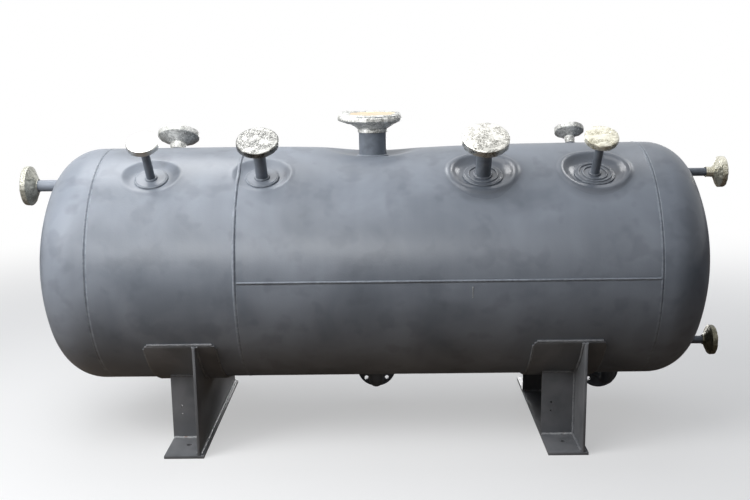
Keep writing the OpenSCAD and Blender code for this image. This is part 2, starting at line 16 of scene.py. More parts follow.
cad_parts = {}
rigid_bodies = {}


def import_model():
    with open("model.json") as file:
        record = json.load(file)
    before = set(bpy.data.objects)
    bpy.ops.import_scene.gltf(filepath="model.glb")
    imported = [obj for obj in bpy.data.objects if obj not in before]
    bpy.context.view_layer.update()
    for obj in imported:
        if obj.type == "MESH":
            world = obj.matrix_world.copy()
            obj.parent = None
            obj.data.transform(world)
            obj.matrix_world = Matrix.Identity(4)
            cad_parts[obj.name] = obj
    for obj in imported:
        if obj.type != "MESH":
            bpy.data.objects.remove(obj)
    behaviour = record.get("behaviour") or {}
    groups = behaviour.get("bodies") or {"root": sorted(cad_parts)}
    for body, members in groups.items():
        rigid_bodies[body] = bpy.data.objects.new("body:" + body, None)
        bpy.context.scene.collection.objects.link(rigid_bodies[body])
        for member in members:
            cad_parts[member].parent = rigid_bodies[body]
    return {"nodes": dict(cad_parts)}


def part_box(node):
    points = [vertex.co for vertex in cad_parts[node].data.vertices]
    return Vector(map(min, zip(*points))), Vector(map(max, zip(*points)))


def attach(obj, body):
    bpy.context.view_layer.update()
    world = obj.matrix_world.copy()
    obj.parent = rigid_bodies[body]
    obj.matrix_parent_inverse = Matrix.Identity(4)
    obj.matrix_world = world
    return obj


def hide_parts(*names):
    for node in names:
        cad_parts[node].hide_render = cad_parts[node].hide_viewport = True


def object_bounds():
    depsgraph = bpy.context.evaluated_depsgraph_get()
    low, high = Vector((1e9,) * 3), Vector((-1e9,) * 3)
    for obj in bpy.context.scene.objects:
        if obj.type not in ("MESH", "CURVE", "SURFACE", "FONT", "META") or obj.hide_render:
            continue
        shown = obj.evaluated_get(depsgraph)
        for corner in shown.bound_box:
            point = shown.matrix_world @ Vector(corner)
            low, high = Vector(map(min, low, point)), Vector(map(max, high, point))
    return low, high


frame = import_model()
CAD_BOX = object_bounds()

log = logging.getLogger("vessel")

MM = 0.001
FULL_TURN = 2 * math.pi
# Fillet bead round a pipe, in millimetres: its radius, and how far its middle lies out from the corner.
FILLET, FILLET_OUT, FILLET_UP = 5, 2.5, 1.5
PAD_FILLET, PASS_BEAD = 3.8, 4.4
Profile = list[tuple[float, float]]
Piece = bpy.types.Object
Socket = bpy.types.NodeSocket
Place = tuple[float, float, float]


class Element(Enum):
    """Kind of mesh element a selection is made of."""

    VERTEX = 0
    EDGE = 1
    FACE = 2


class Side(Enum):
    """End of the vessel, as its direction along X."""

    LEFT = -1
    RIGHT = 1


class Wrap(Enum):
    """How a foil wrap lies behind its flange."""

    TIGHT = "pressed on to the flange back"
    TENTED = "stretched from the rim to the neck"


@dataclass(frozen=True)
class PipeSize:
    """Sizes of a nozzle pipe and its weld-neck flange, in millimetres."""

    pipe: float
    wall: float
    flange: float
    thickness: float
    bolt_circle: float
    bolt_hole: float
    bolts: int
    face: float
    hub: float
    hub_length: float

    @property
    def fillet(self) -> float:
        """Radius of the ring that a fillet round the pipe follows, in metres."""
        return (self.pipe / 2 + FILLET_OUT) * MM


class Bore(Enum):
    """Nominal bores found on the vessel."""

    SMALL = PipeSize(32, 3.5, 115, 18, 85, 14, 4, 65, 46, 40)
    MEDIUM = PipeSize(45, 3.5, 150, 18, 110, 18, 4, 84, 64, 45)
    LARGE = PipeSize(57, 3.5, 165, 20, 125, 18, 4, 99, 74, 48)
    CROWN = PipeSize(108, 4, 220, 20, 180, 18, 8, 156, 131, 52)


def linear(colour: str) -> tuple[float, float, float, float]:
    """Turns an sRGB colour into the linear values that shaders take.

    Args:
        colour: The colour as #rrggbb.

    Returns:
        Linear red, green, blue and an alpha of one.
    """
    shares = [int(colour[at:at + 2], 16) / 255 for at in (1, 3, 5)]
    red, green, blue = (s / 12.92 if s <= 0.04045 else ((s + 0.055) / 1.055) ** 2.4 for s in shares)
    return red, green, blue, 1.0


@dataclass(frozen=True)
class Graph:
    """A node tree with the steps that several finishes take."""

    tree: bpy.types.NodeTree

    def add(self, kind: str, inputs: dict | None = None, **settings) -> bpy.types.Node:
        """Adds a shader node with its settings and links.

        Args:
            kind: Blender's identifier of the node, without its common start.
            inputs: Values or output sockets for the node's inputs, by name or number.
            settings: Properties of the node.

        Returns:
            The new node.
        """
        node = self.tree.nodes.new(f"ShaderNode{kind}")
        for name, value in settings.items():
            setattr(node, name, value)
        for key, value in (inputs or {}).items():
            if isinstance(value, Socket):
                self.tree.links.new(value, node.inputs[key])
            else:
                node.inputs[key].default_value = value
        return node

    def place(self) -> Socket:
        """Gives the place on the object.

        Returns:
            The socket of its coordinates.
        """
        return self.add("TexCoord").outputs["Object"]

    def noise(self, at: Socket, size_mm: float, **inputs: float) -> Socket:
        """Adds a soft noise.

        Args:
            at: The place that it is read at.
            size_mm: Size of its patches.
            inputs: Other inputs of the node.

        Returns:
            The socket of its value.
        """
        values = {"Vector": at, "Scale": 1 / (size_mm * MM), "Detail": 2.0} | inputs
        return self.add("TexNoise", values).outputs[0]

    def spread(
        self, value: Socket, start: float, end: float, low: float = 0.0, high: float = 1.0
    ) -> Socket:
        """Spreads a range of values over another one.

        Args:
            value: The value to change.
            start: First value of its range.
            end: Last value of its range.
            low: What comes out at the first.
            high: What comes out at the last.

        Returns:
            The socket of the new value.
        """
        return self.add("MapRange", {0: value, 1: start, 2: end, 3: low, 4: high}).outputs[0]

    def mix(self, share: Socket | float, first: Socket, second: Socket | float) -> Socket:
        """Mixes two numbers.

        Args:
            share: How much of the second is taken.
            first: The one number.
            second: The other number.

        Returns:
            The socket of the mixed number.
        """
        return self.add("Mix", {0: share, 2: first, 3: second}, data_type="FLOAT").outputs[0]

    def tint(self, share: Socket, first: Socket | str, second: str) -> Socket:
        """Mixes two colours.

        Args:
            share: How much of the second is taken.
            first: The one colour, as a socket or as #rrggbb.
            second: The other colour, as #rrggbb.

        Returns:
            The socket of the mixed colour.
        """
        base = linear(first) if isinstance(first, str) else first
        return self.add("Mix", {0: share, 6: base, 7: linear(second)}, data_type="RGBA").outputs[2]

    def reckon(self, operation: str, *values: Socket | float, **settings: bool) -> Socket:
        """Adds a step of arithmetic.

        Args:
            operation: Blender's name of it.
            values: One or two numbers.
            settings: Properties of the node.

        Returns:
            The socket of the result.
        """
        return self.add("Math", dict(enumerate(values)), operation=operation, **settings).outputs[0]

    def bump(self, height: Socket, share: float, size_mm: float) -> Socket:
        """Adds a relief that only shows in the light.

        Args:
            height: The pattern of its heights.
            share: How strongly it shows.
            size_mm: Height between the pattern's black and white.

        Returns:
            The socket of the bent normal.
        """
        values = {"Height": height, "Strength": share, "Distance": size_mm * MM}
        return self.add("Bump", values).outputs[0]


def activate(piece: Piece) -> None:
    """Makes a piece the only selected and the active object.

    Args:
        piece: The object to work on.
    """
    bpy.ops.object.select_all(action="DESELECT")
    piece.select_set(True)
    bpy.context.view_layer.objects.active = piece


@contextmanager
def editing(
    piece: Piece,
    element: Element = Element.VERTEX,
    test: Callable[..., bool] | None = None,
) -> Iterator[None]:
    """Opens a piece in edit mode with the elements selected that pass a test, or else with all of them.

    Args:
        piece: The object to edit.
        element: Kind of element the test looks at.
        test: Takes the corner points of an element, and for a face its normal as a last argument.

    Yields:
        Nothing; the mesh is in edit mode until the block ends.
    """
    activate(piece)
    bpy.context.tool_settings.mesh_select_mode = [element is kind for kind in Element]
    mesh = piece.data
    for group in (mesh.vertices, mesh.edges, mesh.polygons):
        group.foreach_set("select", [test is None] * len(group))
    if test is not None:
        points = [vertex.co for vertex in mesh.vertices]
        if element is Element.VERTEX:
            chosen = [test(point) for point in points]
            mesh.vertices.foreach_set("select", chosen)
        elif element is Element.EDGE:
            chosen = [test(*(points[i] for i in edge.vertices)) for edge in mesh.edges]
            mesh.edges.foreach_set("select", chosen)
        else:
            chosen = [test(face.center, face.normal) for face in mesh.polygons]
            mesh.polygons.foreach_set("select", chosen)
    bpy.ops.object.mode_set(mode="EDIT")
    try:
        yield
    finally:
        bpy.ops.object.mode_set(mode="OBJECT")


def modify(piece: Piece, kind: str, **settings) -> None:
    """Adds a modifier to a piece and applies it.

    Args:
        piece: The object to change.
        kind: Blender's type of the modifier.
        settings: Properties of the modifier.
    """
    activate(piece)
    modifier = piece.modifiers.new(kind, kind)
    for name, value in settings.items():
        setattr(modifier, name, value)
    bpy.ops.object.modifier_apply(modifier=modifier.name)


@cache
def clouds(size_mm: float) -> bpy.types.Texture:
    """Gives a soft noise that displacements use.

    Args:
        size_mm: Size of the noise's patches.

    Returns:
        The procedural texture.
    """
    texture = bpy.data.textures.new(f"clouds_{size_mm:g}", "CLOUDS")
    texture.noise_scale = size_mm * MM
    texture.noise_depth = 2
    return texture


@cache
def creases(size_mm: float) -> bpy.types.Texture:
    """Gives a pattern of pillows parted by creases, as crumpled sheet shows.

    Args:
        size_mm: Size of a pillow.

    Returns:
        The procedural texture.
    """
    texture = bpy.data.textures.new(f"creases_{size_mm:g}", "VORONOI")
    texture.noise_scale = size_mm * MM
    texture.weight_1 = -1.0
    texture.weight_2 = 1.0
    return texture


def roughen(piece: Piece, texture: bpy.types.Texture, height_mm: float, middle: float = 0.5) -> None:
    """Displaces a surface along its normals by a texture.

    Args:
        piece: The object to change.
        texture: The pattern of the heights.
        height_mm: Height between the texture's black and white.
        middle: Texture value that leaves the surface where it is.
    """
    modify(piece, "DISPLACE", texture=texture, strength=height_mm * MM, mid_level=middle)


def place(piece: Piece, matrix: Matrix) -> Piece:
    """Moves a piece by a matrix and keeps the place in its mesh.

    Args:
        piece: The object to move.
        matrix: The move, in the frame of the part.

    Returns:
        The same object, its origin at the frame's.
    """
    activate(piece)
    piece.matrix_world = matrix @ piece.matrix_world
    bpy.ops.object.transform_apply(location=True, rotation=True, scale=True)
    return piece


def join(pieces: list[Piece]) -> Piece:
    """Joins pieces into one object.

    Args:
        pieces: The objects; the first one stays.

    Returns:
        The joined object.
    """
    activate(pieces[0])
    for piece in pieces[1:]:
        piece.select_set(True)
    if len(pieces) > 1:
        bpy.ops.object.join()
    return pieces[0]


def turn(profile: Profile, steps: int = 96, closed: bool = False) -> Piece:
    """Turns a profile round Z, as on a lathe.

    Args:
        profile: Radius and height of each corner, in metres.
        steps: Facets round the turn.
        closed: Whether the last corner joins the first.

    Returns:
        The turned piece.
    """
    bpy.ops.mesh.primitive_plane_add(size=MM)
    piece = bpy.context.object
    path = profile + profile[:1] if closed else profile
    with editing(piece):
        bpy.ops.mesh.merge(type="CENTER")
        bpy.ops.transform.translate(value=(path[0][0], 0, path[0][1]))
        for (from_r, from_z), (to_r, to_z) in pairwise(path):
            step = (to_r - from_r, 0, to_z - from_z)
            bpy.ops.mesh.extrude_region_move(TRANSFORM_OT_translate={"value": step})
        bpy.ops.mesh.select_all(action="SELECT")
        bpy.ops.mesh.spin(steps=steps, angle=FULL_TURN, center=(0, 0, 0), axis=(0, 0, 1))
        bpy.ops.mesh.select_all(action="SELECT")
        bpy.ops.mesh.remove_doubles(threshold=0.02 * MM)
        bpy.ops.mesh.normals_make_consistent(inside=False)
    return piece


def fine_path(corners: Profile, step: float) -> Profile:
    """Divides the lines of a profile into short steps.

    Args:
        corners: The profile's corners, in metres.
        step: Longest step wanted, in metres.

    Returns:
        The corners with the points between them.
    """
    path = [corners[0]]
    for start, end in pairwise(corners):
        parts = max(1, math.ceil(math.dist(start, end) / step))
        path += [
            (start[0] + (end[0] - start[0]) * i / parts, start[1] + (end[1] - start[1]) * i / parts)
            for i in range(1, parts + 1)
        ]
    return path


def block(low: Vector, high: Vector, edge_mm: float = 0.0) -> Piece:
    """Makes a plate between two corners with its edges dressed.

    Args:
        low: Lowest corner.
        high: Highest corner.
        edge_mm: Width of the bevel along its edges.

    Returns:
        The plate.
    """
    bpy.ops.mesh.primitive_cube_add(size=1, location=(low + high) / 2)
    piece = bpy.context.object
    with editing(piece):
        bpy.ops.transform.resize(value=high - low)
        if edge_mm:
            bpy.ops.mesh.bevel(offset=edge_mm * MM, segments=2, affect="EDGES")
    return place(piece, Matrix())


def rod(start: Vector, end: Vector, radius: float, sides: int = 48) -> Piece:
    """Makes a round bar between two points.

    Args:
        start: Centre of one end.
        end: Centre of the other end.
        radius: Radius of the bar.
        sides: Facets round it.

    Returns:
        The bar.
    """
    along = end - start
    bpy.ops.mesh.primitive_cylinder_add(
        vertices=sides,
        radius=radius,
        depth=along.length,
        location=(start + end) / 2,
        rotation=along.to_track_quat("Z", "Y").to_euler(),
    )
    return place(bpy.context.object, Matrix())


def cut(piece: Piece, cutter: Piece) -> None:
    """Takes one piece's volume out of another and removes it.

    Args:
        piece: The object that is cut.
        cutter: The object taken out.
    """
    modify(piece, "BOOLEAN", object=cutter, operation="DIFFERENCE", solver="EXACT")
    bpy.data.objects.remove(cutter)


def straight_bead(start: Vector, end: Vector, radius_mm: float) -> Piece:
    """Lays a weld bead in a straight line.

    Args:
        start: First point of its middle.
        end: Last point of its middle.
        radius_mm: Radius of the bead.

    Returns:
        The bead, divided finely enough to be made lumpy.
    """
    radius = radius_mm * MM
    bead = rod(start, end, radius, 8)
    length = (end - start).length
    with editing(bead, Element.EDGE, lambda a, b: (a - b).length > 0.9 * length):
        bpy.ops.mesh.subdivide(number_cuts=min(100, max(1, round(length / radius))))
    return bead


def arc_bead(
    middle: Vector, reach: float, start_deg: float, sweep_deg: float, radius_mm: float
) -> Piece:
    """Lays a weld bead along an arc round an axis that runs along X.

    Args:
        middle: Point of the axis in the arc's plane.
        reach: Radius of the arc.
        start_deg: Where it starts, from straight down towards the front.
        sweep_deg: How far it runs on.
        radius_mm: Radius of the bead.

    Returns:
        The bead.
    """
    angle = math.radians(start_deg)
    start = middle + reach * Vector((0, -math.sin(angle), -math.cos(angle)))
    turned = (math.pi / 2 - angle, 0, 0)
    bpy.ops.mesh.primitive_circle_add(
        vertices=8, radius=radius_mm * MM, fill_type="NGON", location=start, rotation=turned
    )
    bead = place(bpy.context.object, Matrix())
    sweep = math.radians(sweep_deg)
    steps = max(4, round(reach * abs(sweep) / (radius_mm * MM)))
    with editing(bead):
        bpy.ops.mesh.spin(steps=steps, angle=sweep, center=middle, axis=(1, 0, 0), use_auto_merge=False)
        bpy.ops.mesh.select_all(action="SELECT")
        bpy.ops.mesh.normals_make_consistent(inside=False)
    return bead


def ring_bead(reach: float, height: float, radius_mm: float) -> Piece:
    """Lays a weld bead round the Z axis.

    Args:
        reach: Radius of the ring.
        height: Its height.
        radius_mm: Radius of the bead.

    Returns:
        The bead.
    """
    bpy.ops.mesh.primitive_torus_add(
        major_segments=max(32, round(FULL_TURN * reach / (4 * MM))),
        minor_segments=10,
        major_radius=reach,
        minor_radius=radius_mm * MM,
        location=(0, 0, height),
    )
    return place(bpy.context.object, Matrix())


@dataclass(frozen=True)
class Finish:
    """A material and the slot of the record that it belongs to."""

    name: str
    slot: str

    def fill(self, graph: Graph) -> Socket:
        """Builds the surface.

        Args:
            graph: The material's empty node tree.

        Returns:
            The socket of the finished shader.
        """
        raise NotImplementedError

    def material(self) -> bpy.types.Material:
        """Gives the material, made on its first use.

        Returns:
            The Blender material.
        """
        known = bpy.data.materials.get(self.name)
        if known is not None:
            return known
        material = bpy.data.materials.new(self.name)
        material.use_nodes = True
        material.node_tree.nodes.clear()
        graph = Graph(material.node_tree)
        graph.add("OutputMaterial", {"Surface": self.fill(graph)})
        return material


@dataclass(frozen=True)
class ShopPaint(Finish):
    """Shop coat on plate: sprayed by hand, so it dries in soft patches of uneven tone and gloss."""

    slot: str = "painted_steel"
    dark: str = "#7b828c"
    light: str = "#949ba6"
    # Darker tone of the smudges, and of the painted shade in the bowls.
    smudge_and_bowl_shade: str = "#50555d"
    rust: str = "#8d6a5c"
    patch_mm: float = 260
    smudge_mm: float = 90
    band_mm: float = 60
    peel_mm: float = 7
    speck_mm: float = 22
    band_share: float = 0.16
    smudge_share: float = 0.2
    gloss_share: tuple[float, float] = (0.33, 0.46)
    fresh_gloss: float = 0.2
    # How far the painted shade darkens the bowls.
    bowl_shade_share: float = 0.6
    mirror_share: float = 0.35
    peel_share: float = 0.05
    rust_share: float = 0.0

    def fill(self, graph: Graph) -> Socket:
        """Builds the paint.

        Args:
            graph: The material's empty node tree.

        Returns:
            The socket of the finished shader.
        """
        at = graph.place()
        patches = graph.noise(at, self.patch_mm, Detail=3.0, Distortion=0.5)
        # Passes of the gun run round the shell: narrow along X and long the other ways.
        along = graph.add("Mapping", {"Vector": at, "Scale": (1, 0.12, 0.12)}).outputs[0]
        bands = graph.noise(along, self.band_mm)
        tone = graph.spread(graph.mix(self.band_share, patches, bands), 0.34, 0.66)
        colour = graph.tint(tone, self.dark, self.light)
        # Dust wiped off by hand leaves soft darker smudges.
        smudge = graph.spread(graph.noise(at, self.smudge_mm), 0.54, 0.65, 0.0, self.smudge_share)
        colour = graph.tint(smudge, colour, self.smudge_and_bowl_shade)
        if self.rust_share:
            # Weld spatter pierces the coat and lets specks of rust through.
            grains = graph.noise(at, self.speck_mm, Detail=3.0)
            specks = graph.spread(grains, 0.6, 0.68, 0.0, self.rust_share)
            colour = graph.tint(specks, colour, self.rust)
        # Touched-up paint round the nozzles is glossier, and the same mark darkens the colour there as
        # painted shade in the bowls.
        fresh = graph.add("Attribute", attribute_name="fresh").outputs["Fac"]
        gloss = graph.mix(fresh, graph.spread(patches, 0.3, 0.7, *self.gloss_share), self.fresh_gloss)
        colour = graph.tint(graph.reckon("MULTIPLY", fresh, self.bowl_shade_share), colour, self.smudge_and_bowl_shade)
        # Orange peel, drawn coarser than it is so that it still shows at this distance.
        peel = graph.bump(graph.noise(at, self.peel_mm), self.peel_share, self.peel_mm)
        surface = {"Base Color": colour, "Roughness": gloss, "Specular IOR Level": self.mirror_share}
        return graph.add("BsdfPrincipled", surface | {"Normal": peel}).outputs[0]


@dataclass(frozen=True)
class WeldPaint(ShopPaint):
    """Coat over a bead: the ripples under it break its tone and gloss into small lights."""

    slot: str = "weld"
    patch_mm: float = 14
    band_mm: float = 8
    peel_mm: float = 5
    peel_share: float = 0.25


@dataclass(frozen=True)
class CrumpledFoil(Finish):
    """Kitchen foil pressed on by hand: small flat facets at odd angles, bright beside grey."""

    slot: str = "foil"
    bright: str = "#f3f3f0"
    # Tone of facets that mirror darker surroundings, and of the painted shade along the creases.
    dark_reflection_and_crease_shade: str = "#a4a5a0"
    facet_mm: float = 9
    bunch_mm: float = 38
    # How much of the surface the painted shade along the creases covers.
    crease_shade_spread: float = 0.4
    facet_share: float = 0.25
    crease_share: float = 0.6
    crease_depth: float = 0.25
    rough_share: float = 0.32
    metal_share: float = 1.0
    # Width of the painted shade lines along the creases.
    crease_shade_width: float = 0.07

    def fill(self, graph: Graph) -> Socket:
        """Builds the foil.

        Args:
            graph: The material's empty node tree.

        Returns:
            The socket of the finished shader.
        """
        at = graph.place()
        cells = {"Vector": at, "Scale": 1 / (self.facet_mm * MM)}
        # Each facet takes a tone of its own, as it mirrors another part of the surroundings.
        facets = graph.add("TexVoronoi", cells).outputs["Color"]
        own = graph.add("SeparateColor", {"Color": facets}).outputs[0]
        flat = graph.spread(own, 0.0, 1.0, self.facet_share, 0.0)
        # Painted shade darkens thin lines along the creases, which run together in places and leave
        # other places smooth.
        wrinkles = graph.noise(at, self.facet_mm, Detail=4.0, Roughness=0.6, Distortion=1.2)
        ridge = graph.reckon("ABSOLUTE", graph.reckon("SUBTRACT", wrinkles, 0.5))
        line = graph.spread(ridge, 0.0, self.crease_shade_width, 1.0, 0.0)
        smooth = 0.62 - 0.4 * self.crease_shade_spread
        where = graph.spread(graph.noise(at, self.bunch_mm), smooth, smooth + 0.1)
        shade = graph.reckon("ADD", graph.reckon("MULTIPLY", line, where), flat, use_clamp=True)
        folds = graph.add("TexVoronoi", cells, feature="DISTANCE_TO_EDGE").outputs[0]
        height = graph.mix(0.5, folds, wrinkles)
        surface = {
            "Base Color": graph.tint(shade, self.bright, self.dark_reflection_and_crease_shade),
            "Metallic": self.metal_share,
            "Roughness": self.rough_share,
            "Normal": graph.bump(height, self.crease_share, self.crease_depth * self.facet_mm),
        }
        return graph.add("BsdfPrincipled", surface).outputs[0]


@dataclass(frozen=True)
class PaleFloor(Finish):
    """Plain pale studio floor that fades into the white behind it and keeps the object's shadow."""

    slot: str = "none"
    tone: str = "#f2f2f2"
    bounce: str = "#74675a"
    fade: tuple[float, float] = (2.2, 5.0)
    glow_share: float = 0.45

    def fill(self, graph: Graph) -> Socket:
        """Builds the floor.

        Args:
            graph: The material's empty node tree.

        Returns:
            The socket of the finished shader.
        """
        far = graph.add("VectorMath", {0: graph.place()}, operation="LENGTH").outputs["Value"]
        reach = {0: far, 1: self.fade[0], 2: self.fade[1], 3: self.glow_share, 4: 1.0}
        away = graph.add("MapRange", reach, interpolation_type="SMOOTHSTEP").outputs[0]
        lit = graph.add("BsdfDiffuse", {"Color": linear(self.tone)}).outputs[0]
        white = graph.add("Emission", {"Color": linear("#ffffff"), "Strength": 1.0}).outputs[0]
        seen = graph.add("MixShader", {0: away, 1: lit, 2: white}).outputs[0]
        # Light that goes on from the floor to the object comes from a darker ground.
        ground = graph.add("BsdfDiffuse", {"Color": linear(self.bounce)}).outputs[0]
        direct = graph.add("LightPath").outputs["Is Camera Ray"]
        return graph.add("MixShader", {0: direct, 1: ground, 2: seen}).outputs[0]


# Satin grey that dries in soft clouds, with faint bands where the gun passed.
PLATE_PAINT = ShopPaint("grey_alkyd_sprayed_on_rolled_plate")
# A brushed coat, painted darker than the plate as painted shade on the necks, in small patches.
PIPE_PAINT = ShopPaint(
    "grey_alkyd_brushed_on_pipe", dark="#6f767f", light="#868d97", patch_mm=45, band_mm=20
)
# Flat primer without the blue of the finish coat.
SADDLE_PAINT = ShopPaint(
    "grey_primer_rolled_on_flame_cut_plate", dark="#6f7174", light="#828386", patch_mm=120
)
# Primer over the wrapper welds, painted lighter than the plate as a painted highlight where the beads
# catch light from above.
SADDLE_WELD = WeldPaint("grey_primer_over_wrapper_weld", dark="#787a7d", light="#97999c")
# The wire brush left a smoother bead, painted a little lighter than the plate as a painted sheen.
WELD_PAINT = WeldPaint(
    "grey_alkyd_over_brushed_weld", dark="#828993", light="#9ca3ad", patch_mm=16, peel_share=0.2
)
# Bare spatter shows through thin primer as pale grains with specks of rust.
SPATTER_WELD = WeldPaint(
    "thin_primer_over_spattered_weld", dark="#9a9c9e", light="#cccdce", rust_share=0.8
)
# Nearly one white disc, as few creases break the light.
SMOOTH_FOIL = CrumpledFoil(
    "aluminium_foil_pressed_smooth", bright="#dededa", dark_reflection_and_crease_shade="#a0a19d", crease_shade_spread=0.1,
    facet_share=0.1, crease_share=0.3
)
# Small dark specks between bright ones.
FINE_FOIL = CrumpledFoil(
    "aluminium_foil_finely_crinkled", bright="#90908d", dark_reflection_and_crease_shade="#1c1d1e", facet_mm=8, crease_shade_spread=0.5,
    facet_share=0.1, crease_shade_width=0.1
)
# White facets with grey creases that run together.
WHITE_FOIL = CrumpledFoil(
    "aluminium_foil_crushed_by_hand", bright="#d8d7d1", dark_reflection_and_crease_shade="#5c5b56", facet_mm=10, crease_shade_spread=0.5,
    facet_share=0.2
)
# Broad folds that mirror something warm.
CREAM_FOIL = CrumpledFoil(
    "aluminium_foil_folded_in_warm_light", bright="#efecdc", dark_reflection_and_crease_shade="#a09b84", facet_mm=14,
    facet_share=0.35, metal_share=0.6
)
# Deep small folds, half of them in their own shade.
GREY_FOIL = CrumpledFoil(
    "aluminium_foil_bunched_under_a_flange", bright="#f0f0ec", dark_reflection_and_crease_shade="#7c7d78", facet_mm=8,
    crease_shade_spread=0.6, facet_share=0.5, crease_share=1.0, rough_share=0.4, metal_share=0.3
)
# Greenish grey painted in as the reflection of the surroundings, on foil with less shine.
OLIVE_FOIL = CrumpledFoil(
    "aluminium_foil_dulled_by_dust", bright="#d2d1c6", dark_reflection_and_crease_shade="#86867a", facet_mm=8, crease_shade_spread=0.6,
    facet_share=0.5, crease_share=0.9, rough_share=0.4, metal_share=0.4
)
# Overspray hides most of the metal under brown grey.
# Brown grey painted in as shade and as the reflection of the ground, over most of the metal.
DARK_FOIL = CrumpledFoil(
    "aluminium_foil_browned_by_overspray", bright="#a39e86", dark_reflection_and_crease_shade="#5f5c48", crease_shade_spread=0.7,
    facet_share=0.6, crease_share=0.9, metal_share=0.3
)
# Taut foil takes the yellow of the cover that it lies on.
COVER_FOIL = CrumpledFoil(
    "aluminium_foil_over_yellowed_cover", bright="#f3dfc0", dark_reflection_and_crease_shade="#dcc79a", facet_mm=30,
    crease_shade_spread=0.1, crease_share=0.2
)
# Evenly matt, so that only the soft shadow shows on it.
FLOOR = PaleFloor("matt_studio_floor_roll")


def coat(piece: Piece, finish: Finish) -> Piece:
    """Gives the whole of a piece one finish.

    Args:
        piece: The modelled object.
        finish: What its surface is.

    Returns:
        The same object.
    """
    piece.data.materials.clear()
    piece.data.materials.append(finish.material())
    return piece


def mount(piece: Piece, name: str, slot: str, *nodes: str, sharp_deg: float = 35) -> None:
    """Finishes a coated piece: name, smooth shading, body and the CAD nodes it stands for.

    Args:
        piece: The modelled object.
        name: Its name in the model.
        slot: The material slot of the record; not used.
        nodes: CAD nodes that it replaces.
        sharp_deg: Edges that turn by more than this stay sharp.
    """
    activate(piece)
    piece.name = name
    piece.data.name = name
    bpy.ops.object.shade_smooth_by_angle(angle=math.radians(sharp_deg))
    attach(piece, "root")
    if nodes:
        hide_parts(*nodes)
    log.info("%s: %d faces", name, len(piece.data.polygons))


def dress(piece: Piece, name: str, finish: Finish, *nodes: str, sharp_deg: float = 35) -> None:
    """Coats a piece with one finish and mounts it.

    Args:
        piece: The modelled object.
        name: Its name in the model.
        finish: What its surface is.
        nodes: CAD nodes that it replaces.
        sharp_deg: Edges that turn by more than this stay sharp.
    """
    mount(coat(piece, finish), name, finish.slot, *nodes, sharp_deg=sharp_deg)


@dataclass(frozen=True)
class Datum:
    """Leading sizes of the vessel, read from the frame, in metres."""

    radius: float
    axis: float
    left_weld: float
    middle_weld: float
    right_weld: float
    weld_width: float
    crown: float

    @classmethod
    def read(cls) -> "Datum":
        """Reads the sizes from the boxes of the CAD nodes.

        Returns:
            The leading sizes.
        """
        short_low, short_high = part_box("short_course")
        long_low, long_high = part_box("long_course")
        radius = (long_high[1] - long_low[1]) / 2
        width = long_low[0] - short_high[0]
        return cls(
            radius=radius,
            axis=long_low[2] + radius,
            left_weld=short_low[0] - width / 2,
            middle_weld=short_high[0] + width / 2,
            right_weld=long_high[0] + width / 2,
            weld_width=width,
            crown=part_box("right_head")[1][0],
        )

    def on_shell(self, x: float, angle_deg: float) -> Matrix:
        """Gives the frame of a nozzle on the shell.

        Args:
            x: Its place along the vessel.
            angle_deg: Its lean from straight up towards the front.

        Returns:
            A frame at the vessel's axis whose Z points out along the nozzle.
        """
        return Matrix.Translation((x, 0, self.axis)) @ Matrix.Rotation(math.radians(angle_deg), 4, "X")

    def on_end(self, side: Side, rise: float = 0.0) -> Matrix:
        """Gives the frame of something turned round the vessel's length.

        Args:
            side: The end that it points to.
            rise: Its height above the vessel's axis.

        Returns:
            A frame in the middle of the vessel whose Z points out at that end.
        """
        seat = Matrix.Translation((0, 0, self.axis + rise))
        return seat @ Matrix.Rotation(side.value * math.pi / 2, 4, "Y")


DATUM = Datum.read()


